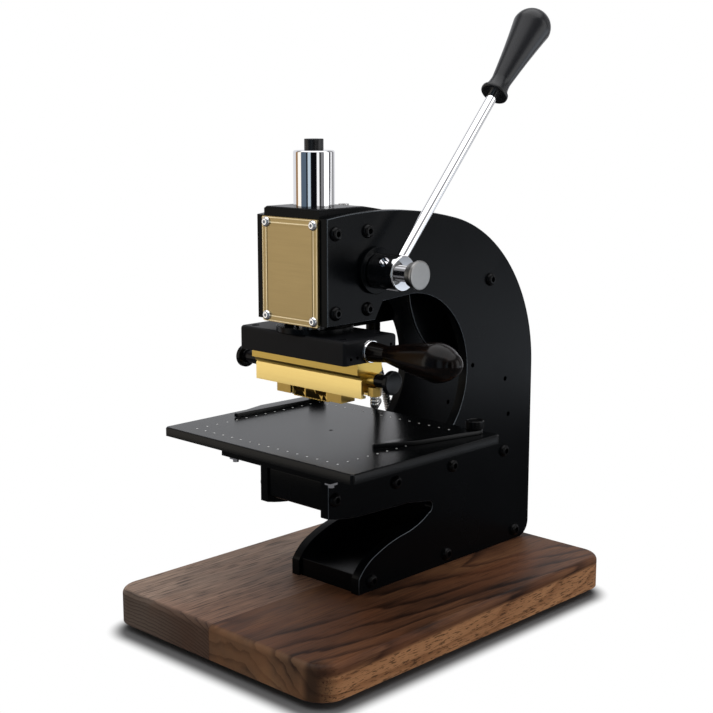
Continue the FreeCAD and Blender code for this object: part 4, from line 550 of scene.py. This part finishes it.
CLIP_X = -41.35
GLAND_X = -57.0
heater_route = from_part([(60.5, -57.4, 158.5), (60.5, -57.4, 153.8), (57.5, -54.2, 151), (47, -43, 149),
                          (18, -10, 140), (-3, 13, 133.5), (-18, 30, 129), (-29, 41.5, 125), (-38, 46, 116),
                          (CLIP_X, 46, 105), (CLIP_X, 46, 93)])
controller_route = from_part([(CLIP_X, 46, 84), (CLIP_X, 46, 74), (-43.5, 50, 60), (-47, 64, 50),
                              (-50.5, 79, 54), (-53.5, 87, 72), (-55.5, 87, 98), (-57, 80, 127),
                              (GLAND_X, 71, 150), (GLAND_X, 66, 166), (GLAND_X, 66, 176)])
LEAD_RADIUS = 0.00325
RIB_PITCH = 0.0023
RIB_STEPS = 8
RIB_DEPTH = 0.24


def spline_points(route, name):
    """Points read from the smooth spline that has the route's points as its control points."""
    curve = bpy.data.curves.new(name + "_route", "CURVE")
    curve.dimensions = "3D"
    spline = curve.splines.new("NURBS")
    spline.points.add(len(route) - 1)
    for point, place in zip(spline.points, route):
        point.co = (*place, 1)
    spline.order_u = 3
    spline.use_endpoint_u = True
    spline.resolution_u = 24
    holder = bpy.data.objects.new(name + "_route", curve)
    mesh = bpy.data.meshes.new_from_object(holder)
    points = [vertex.co.copy() for vertex in mesh.vertices]
    bpy.data.objects.remove(holder)
    bpy.data.curves.remove(curve)
    bpy.data.meshes.remove(mesh)
    return points


def along(points, spacing):
    """Evenly spaced points and directions along a line of points, and its length."""
    reach = [0.0]
    for first, second in zip(points, points[1:]):
        reach.append(reach[-1] + (second - first).length)
    count = int(reach[-1] / spacing)
    stations = []
    index = 0
    for step in range(count + 1):
        distance = reach[-1] * step / count
        while index < len(points) - 2 and reach[index + 1] < distance:
            index += 1
        share = (distance - reach[index]) / max(reach[index + 1] - reach[index], 1e-9)
        stations.append(points[index].lerp(points[index + 1], share))
    ways = [(stations[min(order + 1, count)] - stations[max(order - 1, 0)]).normalized()
            for order in range(count + 1)]
    return stations, ways, reach[-1]


def armoured_lead(name, route, crosses):
    """A tube of wound steel strip: it swells and sinks once for each turn of the strip.

    A lead that crosses from the ram to the frame rides on no body, its place baked into its points.
    """
    points = spline_points(route, name)
    stations, ways, length = along(points, RIB_PITCH / RIB_STEPS)
    shape = bmesh.new()
    before = None
    side_way = ways[0].orthogonal().normalized()
    for order, (station, way) in enumerate(zip(stations, ways)):
        side_way = (side_way - way * side_way.dot(way)).normalized()
        phase = (order % RIB_STEPS) / RIB_STEPS * 2 - 1
        swell = 1 - RIB_DEPTH + RIB_DEPTH * math.sqrt(max(0.0, 1 - phase * phase))
        basis = Matrix((side_way, way.cross(side_way), way)).transposed().to_4x4()
        ring = bmesh.ops.create_circle(shape, cap_ends=order in (0, len(stations) - 1), segments=18,
                                       radius=LEAD_RADIUS * swell,
                                       matrix=Matrix.Translation(station) @ basis)["verts"]
        edges = [edge for vertex in ring for edge in vertex.link_edges]
        if before:
            bmesh.ops.bridge_loops(shape, edges=list(set(before + edges)))
        before = list(set(edges))
    bmesh.ops.recalc_face_normals(shape, faces=shape.faces)
    piece = put_piece(name + "_armour", shape, "lead_armour", None if crosses else "root", [name], 60.0)
    if crosses:
        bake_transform(piece)


armoured_lead("heater_lead", heater_route, True)
armoured_lead("controller_lead", controller_route, False)


# Turned pieces: the half sections of the solids, in millimetres, rounder and with their small edges eased

def column_skin():
    """The polished top of the column, just proud of the solid's flats."""
    radius = (RAM_HIGH.x - RAM_LOW.x) / 2 / MM + 0.03
    low = (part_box("head_block")[1].z - RAM_HIGH.z) / MM - 4
    profile = [(0, low), (radius, low), (radius, -1.5)] + bow((radius, -1.5), (radius - 0.44, -0.44),
                                                              (radius - 1.5, 0.02), 5) + [(0, 0.02)]
    put_piece("column_skin", spun(profile, upright(0, RAM_Y, RAM_HIGH.z), 128), "polished_chrome", "ram")


def column_cap():
    """The black cap on the column, with a round recess in its top."""
    profile = with_rounds([(0, -8), (4, -8), (4, 0), (7, 0), (7, 8.2), (2.6, 8.2), (2.6, 6.0), (0, 6.0)], 0.5)
    put_piece("column_cap", spun(profile, upright(0, RAM_Y, RAM_HIGH.z)), "black_plastic", "ram", ["ram_cap"])


def lever_pieces():
    """The lever's rod, and the grip behind its collar."""
    rod = with_rounds([(0, -9.5), (4, -9.5), (4, 200), (0, 200)], 0.8)
    put_piece("lever_rod_turned", spun(rod, LEVER), "polished_chrome", "lever", ["lever_rod"])
    collar = with_rounds([(4, 168), (10.8, 168), (10.8, 172), (4, 172), (4, 168.01)], 1.6)
    put_piece("grip_collar_turned", spun(collar, LEVER), "black_plastic", "lever", ["grip_collar"])
    grip = [(4, 172), (8.8, 172), (9.2, 172.4)] + bow((9.2, 172.4), (8.025, 177), (7.65, 182))
    grip += bow((7.65, 182), (11.0, 210), (15.1, 236.6), 24)
    grip += bow((15.1, 236.6), (15.1 * math.sqrt(0.5), 236.6 + 15.1 * math.sqrt(0.5)), (0, 251.7), 20)
    put_piece("lever_grip_turned", spun(grip, LEVER, 128), "grip_grey", "lever", ["lever_grip"])


def knob_on_hub():
    """The clamping knob: a ribbed neck that flares to a smooth rim round a turned face."""
    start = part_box("hub_knob")[1].x / MM - 8.2
    matrix = sideways(start * MM, HUB_Y, HUB_Z)
    profile = [(0, -12), (3, -12), (3, 0), (8.4, 0), (8.9, 0.4), (9.0, 0.9), (9.0, 4.4)]
    profile += bow((9.0, 4.4), (9.5, 5.3), (10.5, 6.0), 4)
    profile += [(10.5, 7.5), (10.35, 7.95), (9.9, 8.15), (9.3, 8.2), (0, 8.2)]
    shape = spun(profile, matrix, 88)
    knurl(shape, matrix, 0.3, 4.6, 9.0, 44, 0.5)
    put_piece("hub_knob_turned", shape, "satin_steel", "hub_knob", ["hub_knob"], 24.0, "knob_steel")


def side_handle():
    """The wooden handle behind its ringed ferrule."""
    face = INSULATOR_SIDE / MM
    start = face + 3.2
    ball, end_radius, end = 9.32, 8.5, 133.0
    centre = end - math.sqrt(ball ** 2 - end_radius ** 2)
    half_turn = math.asin(end_radius / ball) / 2
    wood = [(4, start), (7.0, start), (7.4, start + 0.4)]
    wood += bow((7.4, start + 0.4), (6.25, (start + 219) / 4), (5.9, 73))
    wood += bow((5.9, 73), (10.6, 96), (14.0, 118), 24)
    wood += bow((14.0, 118), (12.3, 126.5), (end_radius, end), 12)
    wood += bow((end_radius, end), (ball * math.sin(half_turn), centre + ball * math.cos(half_turn)),
                (0, centre + ball), 12)
    put_piece("side_handle_turned", spun(wood, sideways(0, RAM_Y, HANDLE_Z), 128), "dark_wood", "ram",
              ["side_handle"])
    rings = [(4, 0), (8.0, 0), (8.25, 0.25), (8.25, 0.9), (7.9, 1.05), (7.9, 1.35), (8.25, 1.5), (8.25, 2.35),
             (8.0, 2.75), (7.7, 2.85), (7.7, 3.2), (4, 3.2), (4, 0.01)]
    put_piece("handle_ferrule_turned", spun(rings, sideways(face * MM, RAM_Y, HANDLE_Z)), "polished_chrome",
              "ram", ["handle_ferrule"])


def clamp_knobs():
    """The two clamping screws of the heater block, with their round heads."""
    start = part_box("heating_plate")[1].x / MM - 8.0 + 0.3
    for side_word, way, foot in (("left", -1, 0), ("right", 1, 8.0)):
        name = "clamp_knob_" + side_word
        profile = [(0, -12), (3, -12), (3, foot), (5, foot), (5, 18.6), (5.4, 19.1), (8.1, 19.2),
                   (8.5, 19.45), (8.65, 19.9), (8.65, 22.5), (8.5, 22.95), (8.1, 23.2), (7.2, 23.2),
                   (6.9, 23.0), (0, 22.9)]
        matrix = sideways(start * MM * way, RAM_Y, CLAMP_Z, way)
        put_piece(name + "_turned", spun(profile, matrix), "screw_black", name, [name])


def guide_knobs():
    """The ribbed nuts that clamp the guides."""
    for side_word, way in (("left", -1), ("right", 1)):
        name = "guide_knob_" + side_word
        low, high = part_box(name)
        matrix = upright((low.x + high.x) / 2, (low.y + high.y) / 2, high.z - 6.6 * MM)
        profile = [(0, -8.6), (2.5, -8.6), (2.5, 0), (6.4, 0), (6.9, 0.3), (7.1, 0.9), (7.1, 5.5), (6.9, 6.2),
                   (6.4, 6.55), (5.4, 6.6), (5.0, 6.2), (0, 6.1)]
        shape = spun(profile, matrix, 80)
        knurl(shape, matrix, 0.6, 5.9, 7.1, 40, 0.25)
        put_piece(name + "_turned", shape, "screw_black", name, [name], 24.0)


column_skin()
column_cap()
lever_pieces()
knob_on_hub()
side_handle()
clamp_knobs()
guide_knobs()


# The table's dots and the name plate's lines

DOT_PITCH = 0.010
DOT_RADIUS = 0.00078
DOT_COLUMNS = 16
DOT_ROWS = 14
FIRST_DOT = (-0.077, -0.1077)
PAINT_THICK = 0.00004
PLATE_LINES = ((0.0010, 0.0006), (0.0076, 0.0008))
PLATE_LINE_PROUD = 0.00012
PLATE_LINE_THICK = 0.00015


def table_marks():
    """Round white dots every 10 mm along the table's four sides."""
    shape = bmesh.new()
    top = TABLE_TOP + PAINT_THICK
    across = [FIRST_DOT[0] + DOT_PITCH * order for order in range(DOT_COLUMNS)]
    down = [FIRST_DOT[1] + DOT_PITCH * order for order in range(DOT_ROWS)]
    spots = [(x, y) for x in across for y in (down[0], down[-1])]
    spots += [(x, y) for y in down[1:-1] for x in (across[0], across[-1])]
    for x, y in spots:
        bmesh.ops.create_circle(shape, cap_ends=True, segments=16, radius=DOT_RADIUS,
                                matrix=upright(x, y, top))
    put_piece("table_marks", shape, "table_black", "work_table", paint="white_paint")


def plate_border():
    """Two bright lines round the name plate, given as what they lose of its size and how wide they are."""
    low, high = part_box("name_plate")
    centre = Vector(((low.x + high.x) / 2, low.y - PLATE_LINE_PROUD, (low.z + high.z) / 2))
    shape = bmesh.new()
    for inside, line in PLATE_LINES:
        width = high.x - low.x - inside
        height = high.z - low.z - inside
        corners = bmesh.ops.create_grid(shape, x_segments=1, y_segments=1, size=0.5)["verts"]
        facing = Matrix.Translation(centre) @ Matrix.Rotation(math.radians(90), 4, "X")
        bmesh.ops.transform(shape, verts=corners, matrix=facing @ Matrix.Diagonal((width, height, 1, 1)))
        middle = corners[0].link_faces[:]
        bmesh.ops.inset_region(shape, faces=middle, thickness=line, use_even_offset=True, use_boundary=True)
        bmesh.ops.delete(shape, geom=middle, context="FACES")
    band = bmesh.ops.extrude_face_region(shape, geom=shape.faces[:])["geom"]
    moved = [item for item in band if hasattr(item, "co")]
    bmesh.ops.translate(shape, vec=(0, PLATE_LINE_THICK, 0), verts=moved)
    bmesh.ops.recalc_face_normals(shape, faces=shape.faces)
    put_piece("name_plate_line", shape, "plate_bronze", "root", paint="plate_line")


table_marks()
plate_border()


# Everything else keeps the shape of its solid

for node in frame["nodes"]:
    if node not in remade:
        dressed(node)


# The studio: a floor that darkens beside the base, and a world of soft boxes that the camera doesn't see
# The bands give the light round the sides, each from its turn in degrees, anticlockwise from the camera.

CAMERA_TURN = math.atan2(-0.73, 0.683)
BAND_BLUR = 1.2
BANDS = [(-180, (0.80, 0.81, 0.84)), (-116, (0.34, 0.19, 0.08)), (-98, (1.20, 1.14, 1.04)),
         (-74, (0.10, 0.14, 0.19)), (-41, (0.01, 0.01, 0.012)), (-32, (0.55, 0.66, 0.75)),
         (-16, (0.004, 0.004, 0.005)), (18, (1.1, 1.1, 1.1)), (32, (0.02, 0.02, 0.02)),
         (41, (0.25, 0.25, 0.26)), (61, (1.9, 1.9, 1.9)), (92, (0.12, 0.12, 0.13)),
         (106, (0.80, 0.80, 0.81)), (124, (0.16, 0.16, 0.17)), (140, (0.80, 0.80, 0.83)),
         (180, (0.80, 0.81, 0.84))]
SIDES_END = (0.42, 0.62)
TOP_BOX_FROM = (0.70, 0.80)
LOW_BOX = ((66, 0.0), (84, 1.0), (108, 1.0), (122, 0.0))
LOW_BOX_BELOW = (-0.20, -0.08)
FLOOR_RADIUS = 0.85
SHADE_RIGHT = 0.004
SHADE_FORWARD = 0.0055
SHADE_SHORTER = 0.0025
SHADE_FADE = (0.001, 0.0165)


def studio_world():
    """White to the camera. Reflections see tall soft boxes round the sides, one overhead and one low down."""
    world = bpy.data.worlds.new("studio")
    world.use_nodes = True
    bpy.context.scene.world = world
    studio = Tree(world.node_tree)
    way = studio.node("ShaderNodeTexCoord", {}, {}, "Generated")
    turned = studio.node("ShaderNodeVectorRotate", {"rotation_type": "Z_AXIS"},
                         {"Vector": way, "Angle": -CAMERA_TURN})
    x, y, z = studio.parts(turned)
    turn = x.maths("ARCTAN2", y, x) * (1 / math.tau) + 0.5
    stops = []
    for (start, colour), (end, _) in zip(BANDS, BANDS[1:]):
        stops += [((start + BAND_BLUR) / 360 + 0.5, colour), ((end - BAND_BLUR) / 360 + 0.5, colour)]
    sides = studio.ramp(turn, stops)
    high = studio.between(z, 0.0, 1.0, *SIDES_END, True)
    top = studio.between(z, 0.0, 1.0, *TOP_BOX_FROM, True)
    above = studio.mix(top, (0.30, 0.30, 0.31), (2.0, 2.0, 2.03))
    seen = studio.mix(high, sides, above)
    across = studio.ramp(turn, [(0.5 + angle / 360, (share, share, share)) for angle, share in LOW_BOX])
    seen = studio.mix(across * studio.between(z, 1.0, 0.0, *LOW_BOX_BELOW, True), seen, (1.7, 1.85, 2.05))
    path = studio.node("ShaderNodeLightPath", {}, {}, "Is Camera Ray")
    through = Link(studio, path.socket.node.outputs["Is Transmission Ray"])
    direct = path.maths("MAXIMUM", path, through)
    background = studio.tree.nodes["Background"]
    studio.tree.links.new(studio.mix(direct, seen, (1, 1, 1)).socket, background.inputs["Color"])
    background.inputs["Strength"].default_value = 1.0


def stage_floor():
    """A round floor: the camera sees it shaded close to the base, and white like the background past that.

    The shade lies round a rounded rectangle, a little smaller than the base, to its right and before it.
    """
    shape = bmesh.new()
    bmesh.ops.create_circle(shape, cap_ends=True, segments=128, radius=FLOOR_RADIUS)
    mesh = bpy.data.meshes.new("floor")
    shape.to_mesh(mesh)
    shape.free()
    finish = Finish("floor")
    x, y, _ = finish.parts(finish.place)
    beside = x.maths("ABSOLUTE", x - SHADE_RIGHT) + cad_low.x + SHADE_RIGHT + BASE_CORNER
    beyond = y.maths("ABSOLUTE", y + SHADE_FORWARD) - cad_high.y + SHADE_SHORTER + BASE_CORNER
    beside = x.maths("MAXIMUM", beside, 0.0)
    beyond = y.maths("MAXIMUM", beyond, 0.0)
    distance = (beside * beside + beyond * beyond) ** 0.5 - BASE_CORNER
    path = finish.node("ShaderNodeLightPath", {}, {}, "Is Camera Ray")
    glossy = Link(finish, path.socket.node.outputs["Is Glossy Ray"])
    tone = finish.mix(path, (0.50, 0.50, 0.50), (0.15, 0.15, 0.15))
    tone = finish.mix(glossy, tone, (0.12, 0.12, 0.125))
    lit = finish.node("ShaderNodeBsdfDiffuse", {}, {"Color": tone})
    glow = finish.node("ShaderNodeEmission", {}, {"Color": (1, 1, 1, 1), "Strength": 1.0})
    fade = finish.between(distance, 0.0, 1.0, *SHADE_FADE, True)
    both = finish.node("ShaderNodeMixShader", {}, {0: path * fade, 1: lit, 2: glow})
    finish.tree.links.new(both.socket, finish.tree.nodes["Material Output"].inputs["Surface"])
    mesh.materials.append(finish.material)
    floor = bpy.data.objects.new("floor", mesh)
    bpy.context.scene.collection.objects.link(floor)


stage_floor()
studio_world()
